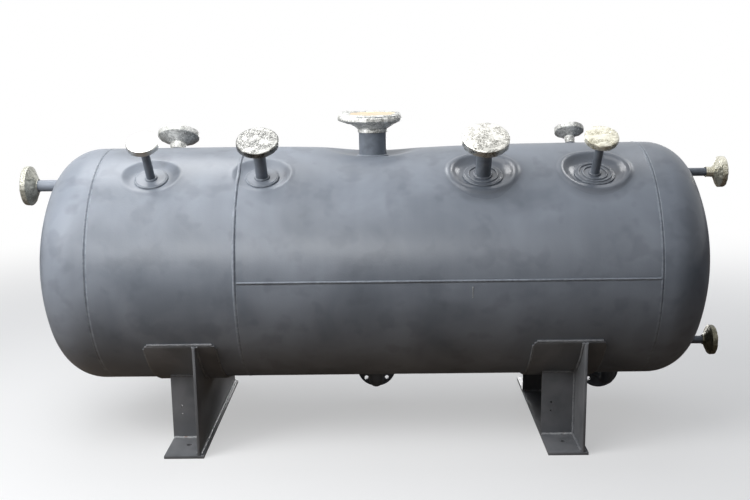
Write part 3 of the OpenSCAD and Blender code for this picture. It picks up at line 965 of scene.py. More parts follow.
@dataclass(frozen=True)
class Dent:
    """A shallow bowl that the heat of a nozzle's welds drew into the shell, in millimetres.

    Its floor leans by `tilt` so that the lower side lies higher, and a broad sag may lie round it.
    """

    x: float
    angle_deg: float
    depth: float = 18
    floor_reach: float = 60
    flare: float = 0.0069
    soft: float = 5.0
    lip: float = 1.0
    lip_span: float = 6
    bowl: float = 900
    tilt: float = 0.11
    reach: float = 165
    # Share of glossier touch-up paint, which also darkens the bowl as painted shade.
    fresh: float = 0.0
    sag: float = 0.0
    sag_shift: float = 80
    sag_span: tuple[float, float] = (200, 170)

    def seat(self, reach: float, across: float = 0.0) -> float:
        """Gives the height of the bowl over the vessel's axis.

        Args:
            reach: Distance from the nozzle's axis, in metres.
            across: Distance round the shell from the nozzle's axis towards the front, in metres.

        Returns:
            The height in the nozzle's frame, in metres.
        """
        out = reach / MM
        wall = self.flare * max(0.0, out - self.floor_reach) ** 2
        return DATUM.radius + (out**2 / (2 * self.bowl) + wall - self.depth) * MM + self.tilt * across

    @property
    def lean(self) -> Matrix:
        """Turn that lays a piece made square to the nozzle on the leaning floor."""
        foot = Matrix.Translation((0, 0, self.seat(0)))
        return foot @ Matrix.Rotation(-math.atan(self.tilt), 4, "X") @ foot.inverted()

    def spot(self, point: Vector) -> Vector:
        """Gives a point of the shell in the nozzle's frame.

        Args:
            point: A point of the plain shell.

        Returns:
            Its place along the vessel, round it towards the front and out along the nozzle, in metres.
        """
        turned = math.atan2(-point.y, point.z - DATUM.axis) - math.radians(self.angle_deg)
        across, out = (DATUM.radius * part(turned) for part in (math.sin, math.cos))
        return Vector((point.x - self.x * MM, across, out))

    def holds(self, point: Vector) -> bool:
        """Tells whether a point of the shell lies in or beside the bowl.

        Args:
            point: A point of the plain shell.

        Returns:
            Whether it is near enough to be shaped by the bowl.
        """
        spot = self.spot(point)
        return spot.z > 0 and spot.xy.length < self.reach * MM

    def shift(self, point: Vector) -> tuple[float, float]:
        """Gives how far the shell is drawn in and how far the lip round the bowl stands up.

        Args:
            point: A point of the plain shell.

        Returns:
            The depth and the height, in metres.
        """
        spot = self.spot(point)
        limit = 4 * self.sag_span[0] if self.sag else 1.4 * self.reach
        if spot.z < 0 or spot.xy.length > limit * MM:
            return 0.0, 0.0
        over = (spot.z - self.seat(spot.xy.length, spot.y)) / MM
        depth = 0.5 * (over + math.hypot(over, self.soft))
        along = (spot.x / MM - self.sag_shift) / self.sag_span[0]
        across = spot.y / MM / self.sag_span[1]
        depth += self.sag * math.exp(-0.5 * (along**2 + across**2) - depth / 20)
        height = self.lip * math.exp(-((over / self.lip_span + 1.1) ** 2))
        return depth * MM, height * MM

    def bowl_shade_and_gloss_share(self, point: Vector) -> float:
        """Gives how much of the paint is a newer, glossier coat brushed on round the nozzle, and how
        much painted shade darkens the bowl.

        Args:
            point: A point of the plain shell.

        Returns:
            A share from zero to one.
        """
        spot = self.spot(point)
        if spot.z < 0:
            return 0.0
        return self.fresh * min(1.0, max(0.0, 3 - 3.2 * spot.xy.length / (self.reach * MM)))


def mark_gloss_and_bowl_shade(piece: Piece, dents: Iterable[Dent]) -> None:
    """Marks where the paint of a piece was touched up to a higher gloss and darkened by painted shade in
    the bowls.

    Args:
        piece: A piece of the shell or something welded to it.
        dents: The bowls that the coat was brushed into.
    """
    shares = [max(dent.bowl_shade_and_gloss_share(vertex.co) for dent in dents) for vertex in piece.data.vertices]
    piece.data.attributes.new("fresh", "FLOAT", "POINT").data.foreach_set("value", shares)


@dataclass(frozen=True)
class Flap:
    """A loose fold of foil that sticks out from a rim, in the nozzle's frame and millimetres."""

    toward_deg: float
    spread_deg: float
    push: tuple[float, float, float]
    soft: float = 26


# Pattern of each layer of crumple, its size in millimetres, its share of the height and its middle.
CRUMPLES = ((clouds, 42, 1.6, 0.25), (creases, 19, 2.2, 0.0), (clouds, 9, 0.5, 0.3))
# Heights of the flange faces over the plain shell and of the necks' feet under it, in millimetres.
FRONT_REACH, REAR_REACH, CROWN_REACH = 160, 110, 120
SIDE_NECK, CROWN_NECK = 34, 58
# Length of an end nozzle from its face to the end of its neck.
END_NECK = 200
LEFT_PAD, RIGHT_PAD = 114, 138


@dataclass
class Nozzle:
    """A pipe stub whose weld-neck flange is closed with foil, in millimetres along its own axis."""

    name: str
    bore: Bore
    frame: Matrix
    face: float
    foot: float
    collar: float
    wrap: Wrap = Wrap.TIGHT
    crumple: float = 2.0
    dome: float = 0.0
    foil_finish: CrumpledFoil = GREY_FOIL
    cover: CrumpledFoil | None = None
    paint: ShopPaint = PIPE_PAINT
    flaps: tuple[Flap, ...] = ()
    shoulder: float = 2.0

    def neck(self) -> None:
        """Models the pipe from inside the shell to the flange's hub."""
        size = self.bore.value
        outer = size.pipe / 2 * MM
        inner = outer - size.wall * MM
        top = (self.face - size.hub_length) * MM
        low = self.foot * MM
        corners = [(outer, low), (outer, top), (inner, top), (inner, low)]
        pipe = turn(fine_path(corners, 12 * MM), 64, closed=True)
        dress(place(pipe, self.frame), f"{self.name}_pipe", self.paint, f"{self.name}_neck")

    def foil(self) -> Piece:
        """Models the foil over the flange, down its hub and a little way along the neck.

        Returns:
            The crumpled foil.
        """
        size = self.bore.value
        gap = 0.9
        face = self.face + gap
        rim = size.flange / 2 + gap
        back = self.face - size.thickness - gap
        hub = size.hub / 2 + gap
        pipe = size.pipe / 2 + gap
        foot = self.face - size.hub_length
        corners = [(0, face + self.dome), (size.face / 3, face + 0.85 * self.dome)]
        corners += [(size.face / 2, face + 0.6 * self.dome), (rim - 2 * self.shoulder, face)]
        rounding = 0.6 * self.shoulder
        corners += [(rim - rounding, face - rounding), (rim, face - 2 * self.shoulder), (rim, back + 1)]
        if self.wrap is Wrap.TENTED:
            corners += [(hub + 4, back - 0.45 * (rim - hub))]
        else:
            corners += [(rim - 2, back - 1), (hub + 2, back - 2), (hub, back - 6)]
        corners += [(pipe + 1.5, foot), (pipe + 1, foot - self.collar)]
        path = fine_path([(r * MM, z * MM) for r, z in corners], 3.2 * MM)
        sheet = turn(path, max(72, round(FULL_TURN * rim / 4)))
        for flap in self.flaps:
            self.lift(sheet, flap)
        place(sheet, self.frame)
        for pattern, size_mm, height, middle in CRUMPLES:
            roughen(sheet, pattern(size_mm), height * self.crumple, middle)
        modify(sheet, "DECIMATE", ratio=0.45)
        modify(sheet, "SOLIDIFY", thickness=0.5 * MM, offset=1.0)
        coat(sheet, self.foil_finish)
        if self.cover:
            self.show_cover(sheet, self.cover)
        return sheet

    def lift(self, sheet: Piece, flap: Flap) -> None:
        """Pulls a loose fold out of the foil's rim.

        Args:
            sheet: The foil, still in the nozzle's frame.
            flap: Where the fold is and how far it sticks out.
        """
        rim = self.bore.value.flange / 2 * MM
        top = (self.face - 3 - 2.2 * self.shoulder) * MM

        def on_edge(point: Vector) -> bool:
            """Tells whether a point lies on the part of the rim that is pulled."""
            turned = math.degrees(math.atan2(point.y, point.x)) - flap.toward_deg
            near = abs(math.remainder(turned, 360)) < flap.spread_deg
            return near and point.z > top and math.hypot(point.x, point.y) > rim - 2 * MM

        with editing(sheet, Element.VERTEX, on_edge):
            bpy.ops.transform.translate(
                value=Vector(flap.push) * MM,
                use_proportional_edit=True,
                proportional_edit_falloff="SMOOTH",
                proportional_size=flap.soft * MM,
            )

    def show_cover(self, sheet: Piece, cover: CrumpledFoil) -> None:
        """Gives the flat top of the foil the tone of the cover under it.

        Args:
            sheet: The coated foil, in the part's frame.
            cover: The finish of the top.
        """
        sheet.data.materials.append(cover.material())
        reach = (self.bore.value.face / 2 + 10) * MM
        inward = self.frame.inverted()
        for side in sheet.data.polygons:
            spot = inward @ side.center
            if math.hypot(spot.x, spot.y) < reach and spot.z > (self.face - 2) * MM:
                side.material_index = 1


@dataclass
class ShellNozzle(Nozzle):
    """A nozzle set into a bowl of the shell."""

    dent: Dent | None = None
    pad: float = LEFT_PAD
    pad_thickness: float = 6
    passes: tuple[float, ...] = ()

    def seat(self, reach: float) -> float:
        """Gives the height of the surface that the neck is welded to.

        Args:
            reach: Distance from the nozzle's axis, in metres.

        Returns:
            The height in the nozzle's frame.
        """
        return self.dent.seat(reach) + (self.pad_thickness * MM if self.pad else 0)

    def plate(self) -> Piece:
        """Models the reinforcing pad, dished to the bowl and rounded at its edge.

        Returns:
            The pad.
        """
        inner = (self.bore.value.pipe / 2 + 0.5) * MM
        outer = self.pad / 2 * MM
        radii = [inner + (outer - inner) * i / 10 for i in range(11)]
        under = [(r, self.dent.seat(r)) for r in radii]
        over = [(r, self.seat(r)) for r in radii[:-1]]
        edge = [
            (outer, self.seat(outer) - 2.5 * MM),
            (outer - 0.8 * MM, self.seat(outer) - 0.8 * MM),
            (outer - 2.5 * MM, self.seat(outer)),
        ]
        return place(turn(under + edge + over[::-1], 96, closed=True), self.frame @ self.dent.lean)

    def welds(self) -> list[Piece]:
        """Models the fillet round the neck, the pad's edge weld and any further passes.

        Returns:
            The beads.
        """
        foot = self.bore.value.fillet
        beads = [ring_bead(foot, self.seat(foot) + FILLET_UP * MM, FILLET)]
        if self.pad:
            edge = self.pad / 2 * MM + 2 * MM
            beads.append(ring_bead(edge, self.dent.seat(edge) + FILLET_UP * MM, PAD_FILLET))
        beads += [ring_bead(r * MM, self.seat(r * MM) + 0.2 * MM, PASS_BEAD) for r in self.passes]
        for bead in beads:
            place(bead, self.frame @ self.dent.lean)
        return beads


@dataclass
class EndNozzle(Nozzle):
    """A nozzle through a head, along the vessel."""

    side: Side = Side.LEFT
    rise: float = 0.0
    crown_radius: float = 821

    def welds(self) -> list[Piece]:
        """Models the fillet that follows the head's crown round the neck.

        Returns:
            The bead.
        """
        bead = ring_bead(self.bore.value.fillet, 0, FILLET)
        sphere = self.crown_radius * MM
        for vertex in bead.data.vertices:
            up = self.rise * MM - self.side.value * vertex.co.x
            dome = math.sqrt(sphere**2 - up**2 - vertex.co.y**2)
            vertex.co.z += DATUM.crown - sphere + dome + FILLET_UP * MM
        return [place(bead, self.frame)]


@dataclass
class Outlet:
    """A drain under the shell that turns to the rear and ends in a flange, in millimetres."""

    name: str
    x: float
    height: float = 140
    bend: float = 51
    bore: Bore = Bore.LARGE

    def elbow(self) -> None:
        """Models the pipe: down from the shell, round the bend and on to the hub."""
        size = self.bore.value
        outer = size.pipe / 2 * MM
        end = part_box(f"{self.name}_elbow")[1][1]
        top = DATUM.axis - DATUM.radius + 2 * MM
        bend = self.bend * MM
        bpy.ops.mesh.primitive_circle_add(vertices=48, radius=outer, location=(self.x * MM, 0, top))
        pipe = place(bpy.context.object, Matrix())
        corner = (self.x * MM, bend, self.height * MM + bend)
        with editing(pipe):
            drop = (0, 0, corner[2] - top)
            bpy.ops.mesh.extrude_region_move(TRANSFORM_OT_translate={"value": drop})
            bpy.ops.mesh.spin(
                steps=16, angle=math.pi / 2, center=corner, axis=(-1, 0, 0), use_auto_merge=False
            )
            bpy.ops.mesh.extrude_region_move(TRANSFORM_OT_translate={"value": (0, end - bend, 0)})
            bpy.ops.mesh.select_all(action="SELECT")
            bpy.ops.mesh.normals_make_consistent(inside=False)
        modify(pipe, "SOLIDIFY", thickness=size.wall * MM, offset=-1.0)
        dress(pipe, f"{self.name}_bend", PIPE_PAINT, f"{self.name}_elbow")

    def flange(self) -> None:
        """Models the open weld-neck flange with its bolt holes."""
        size = self.bore.value
        bore = size.pipe / 2 - size.wall
        face = 0.0
        step = face - 2
        back = face - size.thickness
        corners = [
            (bore, face),
            (size.face / 2, face),
            (size.face / 2, step),
            (size.flange / 2 - 1.5, step),
            (size.flange / 2, step - 1.5),
            (size.flange / 2, back + 1.5),
            (size.flange / 2 - 1.5, back),
            (size.hub / 2 + 3, back),
            (size.hub / 2, back - 3),
            (size.pipe / 2, face - size.hub_length + 6),
            (size.pipe / 2, face - size.hub_length),
            (bore, face - size.hub_length),
        ]
        ring = turn([(r * MM, z * MM) for r, z in corners], 96, closed=True)
        holes = []
        for bolt in range(size.bolts):
            turned = (bolt + 0.5) * FULL_TURN / size.bolts
            spot = Vector((math.cos(turned), math.sin(turned), 0)) * size.bolt_circle / 2 * MM
            deep = Vector((0, 0, 2 * size.thickness * MM))
            holes.append(rod(spot - deep, spot + deep, size.bolt_hole / 2 * MM, 32))
        cut(ring, join(holes))
        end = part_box(f"{self.name}_flange")[1][1]
        seat = Matrix.Translation((self.x * MM, end, self.height * MM))
        place(ring, seat @ Matrix.Rotation(-math.pi / 2, 4, "X"))
        dress(ring, f"{self.name}_flange_ring", PIPE_PAINT, f"{self.name}_flange")

    def welds(self) -> list[Piece]:
        """Models the fillet that follows the shell's underside and the bead where pipe meets hub.

        Returns:
            The beads.
        """
        size = self.bore.value
        foot = ring_bead(size.fillet, 0, FILLET)
        for vertex in foot.data.vertices:
            belly = math.sqrt(DATUM.radius**2 - vertex.co.y**2)
            vertex.co.z += DATUM.axis - belly - FILLET_UP * MM
        place(foot, Matrix.Translation((self.x * MM, 0, 0)))
        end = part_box(f"{self.name}_elbow")[1][1]
        butt = ring_bead(size.pipe / 2 * MM, 0, 2.5)
        seat = Matrix.Translation((self.x * MM, end, self.height * MM))
        return [foot, place(butt, seat @ Matrix.Rotation(math.pi / 2, 4, "X"))]


@dataclass
class Saddle:
    """A welded saddle: base plate, web, two ribs and the wrapper under the shell, in millimetres."""

    side: Side
    edge: float = 1.5
    hole: float = 20
    hole_spread: float = 640
    rib_hole: float = 8
    rib_holes: tuple[float, float] = (110, 144)
    rib_hole_inset: float = 38
    wrapper_deg: float = 120
    corner: float = 6
    rib_thickness: float = 10
    bead: float = 5
    bead_off: float = 2

    @property
    def name(self) -> str:
        """Start of the saddle's node names."""
        return f"{self.side.name.lower()}_saddle"

    def corners(self, part: str) -> tuple[Vector, Vector]:
        """Reads where a part of the saddle lies.

        Args:
            part: End of the CAD node's name.

        Returns:
            Lowest and highest corner.
        """
        low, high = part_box(f"{self.name}_{part}")
        return Vector(low), Vector(high)

    @property
    def wrapper_reach(self) -> float:
        """Outer radius of the wrapper, in metres."""
        return DATUM.axis - self.corners("wrapper")[0].z

    def seat_cutter(self) -> Piece:
        """Makes the round bar that hollows web and ribs to the wrapper.

        Returns:
            The cutter.
        """
        ends = [Vector((x, 0, DATUM.axis)) for x in (CAD_BOX[0][0], CAD_BOX[1][0])]
        return rod(ends[0], ends[1], self.wrapper_reach + 0.3 * MM, 256)

    def base(self) -> None:
        """Models the base plate with its anchor holes."""
        low, high = self.corners("base")
        plate = block(low, high, self.edge)
        middle = (low.x + high.x) / 2
        spots = [Vector((middle, end * self.hole_spread / 2 * MM, 0)) for end in (-1, 1)]
        tall = Vector((0, 0, 40 * MM))
        cut(plate, join([rod(spot - tall, spot + tall, self.hole / 2 * MM, 32) for spot in spots]))
        dress(plate, f"{self.name}_base_plate", SADDLE_PAINT, f"{self.name}_base")

    def web(self) -> None:
        """Models the web, hollowed to the wrapper."""
        plate = block(*self.corners("web"), self.edge)
        cut(plate, self.seat_cutter())
        dress(plate, f"{self.name}_web_plate", SADDLE_PAINT, f"{self.name}_web")

    def ribs(self) -> None:
        """Models the two ribs with their vent holes."""
        low, high = self.corners("ribs")
        thick = self.rib_thickness * MM
        front = block(low, Vector((high.x, low.y + thick, high.z)), self.edge)
        rear = block(Vector((low.x, high.y - thick, low.z)), high, self.edge)
        plates = join([front, rear])
        cut(plates, self.seat_cutter())
        far = Vector((0, 1, 0))
        spots = [Vector((low.x + self.rib_hole_inset * MM, 0, z * MM)) for z in self.rib_holes]
        cut(plates, join([rod(spot - far, spot + far, self.rib_hole / 2 * MM, 24) for spot in spots]))
        dress(plates, f"{self.name}_rib_plates", SADDLE_PAINT, f"{self.name}_ribs")

    def wrapper(self) -> None:
        """Models the wrapper: a strip bent round the shell, its corners rounded off."""
        low, high = self.corners("wrapper")
        inner = DATUM.radius + 0.3 * MM
        half = math.radians(self.wrapper_deg / 2)
        start = Vector((low.x, -inner * math.sin(half), DATUM.axis - inner * math.cos(half)))
        bpy.ops.mesh.primitive_plane_add(size=MM)
        strip = bpy.context.object
        with editing(strip):
            bpy.ops.mesh.merge(type="CENTER")
            bpy.ops.transform.translate(value=start)
            run = {"value": (high.x - low.x, 0, 0)}
            bpy.ops.mesh.extrude_region_move(TRANSFORM_OT_translate=run)
            bpy.ops.mesh.select_all(action="SELECT")
            bpy.ops.mesh.spin(
                steps=48,
                angle=2 * half,
                center=(0, 0, DATUM.axis),
                axis=(-1, 0, 0),
                use_auto_merge=False,
            )
        ends = (low.x, high.x)
        top = start.z - 0.1 * MM

        def is_corner(point: Vector) -> bool:
            """Tells whether a point is one of the strip's four corners."""
            return point.z > top and min(abs(point.x - x) for x in ends) < MM

        with editing(strip, Element.VERTEX, is_corner):
            bpy.ops.mesh.bevel(offset=self.corner * MM, segments=5, affect="VERTICES")
            bpy.ops.mesh.select_all(action="SELECT")
            bpy.ops.mesh.normals_make_consistent(inside=False)
        modify(strip, "SOLIDIFY", thickness=self.wrapper_reach - inner, offset=1.0)
        edges = {"limit_method": "ANGLE", "angle_limit": math.radians(40)}
        modify(strip, "BEVEL", width=1.2 * MM, segments=2, **edges)
        dress(strip, f"{self.name}_wrapper_plate", SADDLE_PAINT, f"{self.name}_wrapper")

    def welds(self) -> None:
        """Lays the beads round the wrapper and along the feet and sides of web and ribs."""
        low, high = self.corners("wrapper")
        web_low, web_high = self.corners("web")
        rib_low, rib_high = self.corners("ribs")
        base_top = self.corners("base")[1].z
        half = self.wrapper_deg / 2
        off = self.bead_off * MM
        shell = DATUM.radius + off
        beads: list[Piece] = []
        feet: list[Piece] = []
        for x in (low.x - off, high.x + off):
            beads.append(arc_bead(Vector((x, 0, DATUM.axis)), shell, 2 - half, 2 * half - 4, 4.5))
        for x in (web_low.x - off, web_high.x + off):
            middle = Vector((x, 0, DATUM.axis))
            beads.append(arc_bead(middle, self.wrapper_reach + off, -half, 2 * half, self.bead))
            ends = (web_low.y + 8 * MM, web_high.y - 8 * MM)
            foot = [Vector((x, y, base_top + off)) for y in ends]
            beads.append(straight_bead(*foot, self.bead))
        edge = math.radians(half) + 2.5 * MM / DATUM.radius
        ends = (rib_low.x + 3 * MM, rib_high.x)
        for front in (-1, 1):
            y = front * shell * math.sin(edge)
            z = DATUM.axis - shell * math.cos(edge)
            top = [Vector((x, y, z)) for x in (low.x + 10 * MM, high.x - 10 * MM)]
            beads.append(straight_bead(*top, 5.5))
            for y in (rib_high.y + off, rib_high.y - self.rib_thickness * MM - off):
                under = DATUM.axis - math.sqrt(self.wrapper_reach**2 - y**2)
                foot = [Vector((x, front * y, base_top + off)) for x in ends]
                feet.append(straight_bead(*foot, self.bead))
                head = [Vector((x, front * y, under - off)) for x in ends]
                post = [Vector((web_low.x - off, front * y, z)) for z in (base_top, under)]
                beads += [straight_bead(*head, self.bead), straight_bead(*post, self.bead)]
        for name, runs, finish in (("wrapper", beads, SADDLE_WELD), ("foot", feet, SPATTER_WELD)):
            lumpy = join(runs)
            roughen(lumpy, clouds(9), 4.0)
            dress(lumpy, f"{self.name}_{name}_welds", finish, sharp_deg=70)

    def build(self) -> None:
        """Models the whole saddle."""
        self.base()
        self.web()
        self.ribs()
        self.wrapper()
        self.welds()


@dataclass
class Vessel:
    """The shell of two courses, two dished heads and the welds between them."""

    dents: list[Dent]
    wall: float = 8
    segments: int = 240
    crown_radius: float = 813
    knuckle_radius: float = 156
    knuckle_steps: int = 18
    crown_steps: int = 30
    long_cuts: tuple[int, int] = (70, 1)
    bowl_cuts: int = 2
    bead_crown: float = 3.4
    bead_undercut: float = 2.2
    bead_lumps: float = 2.4
    seams: tuple[float, float] = (88, -75)
    seam_width: float = 9
    seam_crown: float = 3.0
    fill_from: float = 30
    fill_over: float = 120
    fill_share: float = 0.75
    drip_x: float = 355
    drip_deg: tuple[float, float] = (90.8, 95.9)
    drip_size: float = 1.7

    def body(self) -> None:
        """Models both courses and the weld between them from one drawn-in tube."""
        half = DATUM.weld_width / 2
        left = DATUM.left_weld + half
        right = DATUM.right_weld - half
        bpy.ops.mesh.primitive_cylinder_add(
            vertices=self.segments,
            radius=DATUM.radius,
            depth=right - left,
            end_fill_type="NOTHING",
            location=((left + right) / 2, 0, DATUM.axis),
            rotation=(0, math.pi / 2, 0),
        )
        tube = place(bpy.context.object, Matrix())
        for cuts in self.long_cuts:
            with editing(tube, Element.EDGE, lambda a, b: abs(a.x - b.x) > MM):
                bpy.ops.mesh.subdivide(number_cuts=cuts)
        edges = (DATUM.middle_weld - half, DATUM.middle_weld + half)
        with editing(tube):
            for x in edges:
                bpy.ops.mesh.select_all(action="SELECT")
                bpy.ops.mesh.bisect(plane_co=(x, 0, 0), plane_no=(1, 0, 0))

        def near_dent(middle: Vector, normal: Vector) -> bool:
            """Tells whether a face lies in or beside a bowl."""
            return any(dent.holds(middle) for dent in self.dents)

        with editing(tube, Element.FACE, near_dent):
            bpy.ops.mesh.subdivide(number_cuts=self.bowl_cuts)
        self.draw_in(tube)
        bead = self.split(tube, lambda middle, normal: edges[0] < middle.x < edges[1])
        short = self.split(tube, lambda middle, normal: middle.x < edges[0])
        self.crown_bead(bead, DATUM.middle_weld)
        for course, name in ((short, "short_course"), (tube, "long_course")):
            modify(course, "SOLIDIFY", thickness=self.wall * MM, offset=-1.0)
            dress(course, f"rolled_{name}", PLATE_PAINT, name)

    def draw_in(self, tube: Piece) -> None:
        """Rounds the tube up and draws the bowls into it.

        Args:
            tube: The plain tube.
        """
        sunk = tube.vertex_groups.new(name="drawn_in")
        lips = tube.vertex_groups.new(name="pushed_out")
        deepest = 50 * MM
        highest = 5 * MM
        for vertex in tube.data.vertices:
            spoke = Vector((0, vertex.co.y, vertex.co.z - DATUM.axis))
            spoke *= DATUM.radius / spoke.length
            vertex.co.y = spoke.y
            vertex.co.z = spoke.z + DATUM.axis
            shifts = [dent.shift(vertex.co) for dent in self.dents]
            depth = sum(shift[0] for shift in shifts)
            height = sum(shift[1] for shift in shifts)
            if depth:
                sunk.add([vertex.index], depth / deepest, "REPLACE")
            if height:
                lips.add([vertex.index], height / highest, "REPLACE")
        mark_gloss_and_bowl_shade(tube, self.dents)
        modify(tube, "DISPLACE", vertex_group="drawn_in", strength=-deepest, mid_level=0.0)
        modify(tube, "DISPLACE", vertex_group="pushed_out", strength=highest, mid_level=0.0)
        roughen(tube, clouds(420), 1.6)

    def split(self, tube: Piece, test: Callable[[Vector, Vector], bool]) -> Piece:
        """Parts some faces of a piece into a piece of their own.

        Args:
            tube: The object that loses the faces.
            test: Tells from a face's middle and normal whether it goes.

        Returns:
            The new object.
        """
        before = set(bpy.data.objects)
        with editing(tube, Element.FACE, test):
            bpy.ops.mesh.separate(type="SELECTED")
        return (set(bpy.data.objects) - before).pop()

    def relief(self, point: Vector) -> float:
        """Gives how much of a girth weld stands out, as runs of paint fill it below the middle.

        Args:
            point: A point of the weld.

        Returns:
            A share, one in the upper half.
        """
        below = (DATUM.axis + self.fill_from * MM - point.z) / (self.fill_over * MM)
        return 1 - self.fill_share * min(1.0, max(0.0, below))

    def crown_bead(self, strip: Piece, middle: float) -> None:
        """Raises the strip between the courses to a lumpy weld bead with an undercut on its right.

        Args:
            strip: The strip of shell between the courses.
            middle: Its place along X.
        """
        half = DATUM.weld_width / 2
        with editing(strip, Element.EDGE, lambda a, b: abs(a.x - b.x) > MM):
            bpy.ops.mesh.subdivide(number_cuts=9)
        crown = strip.vertex_groups.new(name="crown")
        undercut = strip.vertex_groups.new(name="undercut")
        for vertex in strip.data.vertices:
            across = (vertex.co.x - middle) / half
            share = self.relief(vertex.co)
            crown.add([vertex.index], share * max(0.0, 1 - ((across + 0.2) / 0.75) ** 2), "REPLACE")
            undercut.add([vertex.index], share * max(0.0, 1 - ((across - 0.72) / 0.22) ** 2), "REPLACE")
        shifts = (("undercut", -self.bead_undercut), ("crown", self.bead_crown))
        for group, height in shifts:
            modify(strip, "DISPLACE", vertex_group=group, strength=height * MM, mid_level=0.0)
        lumps = {"texture": clouds(12), "strength": self.bead_lumps * MM, "mid_level": 0.5}
        modify(strip, "DISPLACE", vertex_group="crown", **lumps)
        modify(strip, "SOLIDIFY", thickness=self.wall * MM, offset=-1.0)
        dress(strip, "middle_girth_bead", WELD_PAINT, "middle_girth_weld", sharp_deg=70)

    def head(self, side: Side) -> None:
        """Models a dished head: a straight flange, the knuckle and the crown.

        Args:
            side: The end of the vessel.
        """
        name = f"{side.name.lower()}_head"
        crown = (self.crown_radius + self.wall) * MM
        knuckle = (self.knuckle_radius + self.wall) * MM
        centre = DATUM.crown - crown
        offset = DATUM.radius - knuckle
        tangent = centre + math.sqrt((crown - knuckle) ** 2 - offset**2)
        meet = math.asin(offset / (crown - knuckle))
        rim = DATUM.right_weld + DATUM.weld_width / 2
        profile = [(DATUM.radius, rim), (DATUM.radius, (rim + tangent) / 2)]
        for i in range(self.knuckle_steps + 1):
            turned = (math.pi / 2 - meet) * i / self.knuckle_steps
            profile.append((offset + knuckle * math.cos(turned), tangent + knuckle * math.sin(turned)))
        for i in range(1, self.crown_steps + 1):
            turned = meet * (1 - i / self.crown_steps)
            profile.append((crown * math.sin(turned), centre + crown * math.cos(turned)))
        dish = place(turn(profile, 192), DATUM.on_end(side))
        modify(dish, "SOLIDIFY", thickness=self.wall * MM, offset=-1.0)
        dress(dish, f"dished_{name}", PLATE_PAINT, name)

    def head_bead(self, side: Side) -> None:
        """Models the weld of a head: ground down to a groove at the left, a low bead at the right.

        Args:
            side: The end of the vessel.
        """
        half = DATUM.weld_width / 2
        if side is Side.LEFT:
            shape = [(-1.0, 0.0), (-0.5, 0.1), (-0.3, -3.0), (0.15, -3.0), (0.35, 0.1), (1.0, 0.0)]
        else:
            shape = [(-1.0, 0.0), (-0.6, 0.5), (-0.2, 1.5), (0.2, 0.4)]
            shape += [(0.35, -1.6), (0.7, -1.6), (0.85, 0.0), (1.0, 0.0)]
        outer = [(DATUM.radius + high * MM, DATUM.right_weld + out * half) for out, high in shape]
        inner = [(DATUM.radius - self.wall * MM, z) for z in (outer[-1][1], outer[0][1])]
        ring = place(turn(outer + inner, 256, closed=True), DATUM.on_end(side))
        for vertex in ring.data.vertices:
            spoke = Vector((0, vertex.co.y, vertex.co.z - DATUM.axis))
            over = spoke.length - DATUM.radius
            if over > -self.wall / 2 * MM:
                vertex.co += spoke.normalized() * over * (self.relief(vertex.co) - 1)
        name = side.name.lower()
        dress(ring, f"{name}_girth_bead", WELD_PAINT, f"{name}_girth_weld", sharp_deg=70)

    def seam_beads(self) -> None:
        """Models the long seam of each course as a low bead on the shell."""
        half = DATUM.weld_width / 2
        width = self.seam_width / 2
        radius_mm = (width**2 + self.seam_crown**2) / (2 * self.seam_crown)
        runs = (
            (self.seams[0], DATUM.middle_weld + half, DATUM.right_weld - half),
            (self.seams[1], DATUM.left_weld + half, DATUM.middle_weld - half),
        )
        beads = []
        reach = DATUM.radius + (self.seam_crown - radius_mm) * MM
        for angle, start, end in runs:
            spots = [DATUM.on_shell(x, angle) @ Vector((0, 0, reach)) for x in (start, end)]
            bead = straight_bead(*spots, radius_mm)
            out = DATUM.on_shell(0, angle).to_3x3() @ Vector((0, 0, 1))
            with editing(bead):
                bpy.ops.mesh.subdivide(number_cuts=1)
                bpy.ops.mesh.select_all(action="SELECT")
                floor = DATUM.on_shell(0, angle) @ Vector((0, 0, DATUM.radius - 0.6 * MM))
                bpy.ops.mesh.bisect(plane_co=floor, plane_no=out, clear_inner=True, use_fill=True)
            beads.append(bead)
        lumpy = join(beads)
        roughen(lumpy, clouds(14), 1.4)
        dress(lumpy, "seam_beads", WELD_PAINT, "seam_welds", sharp_deg=70)

    def drip(self) -> None:
        """Models the pale run that dripped down from the front seam."""
        out = Vector((0, 0, DATUM.radius))
        spots = [DATUM.on_shell(self.drip_x * MM, angle) @ out for angle in self.drip_deg]
        run = straight_bead(*spots, self.drip_size)
        roughen(run, clouds(7), 4.0)
        dress(run, "dripped_run", SPATTER_WELD, sharp_deg=70)

    def build(self) -> None:
        """Models the whole shell."""
        self.body()
        for side in Side:
            self.head(side)
            self.head_bead(side)
        self.seam_beads()
        self.drip()


@dataclass(frozen=True)
class Softbox:
    """A soft light; without a target it points at the middle of the vessel.

    One that gleams shows in glossy surfaces and lights nothing else. One with pieces reaches only those.
    """

    name: str
    at: Place
    size: tuple[float, float]
    power: float
    target: Place | None = None
    gleams: bool = False
    pieces: tuple[str, ...] = ()

    def hang(self) -> None:
        """Adds the light to the scene."""
        spot = Vector(self.at)
        target = Vector(self.target or (0, 0, DATUM.axis))
        bpy.ops.object.light_add(type="AREA", location=spot)
        lamp = bpy.context.object
        lamp.name = self.name
        lamp.rotation_euler = (target - spot).to_track_quat("-Z", "Y").to_euler()
        lamp.data.shape = "RECTANGLE"
        lamp.data.size, lamp.data.size_y = self.size
        lamp.data.energy = self.power
        lamp.visible_camera = False
        lamp.visible_diffuse = not self.gleams
        if self.pieces:
            lit = bpy.data.collections.new(f"{self.name}_pieces")
            for name in self.pieces:
                lit.objects.link(bpy.data.objects[name])
            lamp.light_linking.receiver_collection = lit


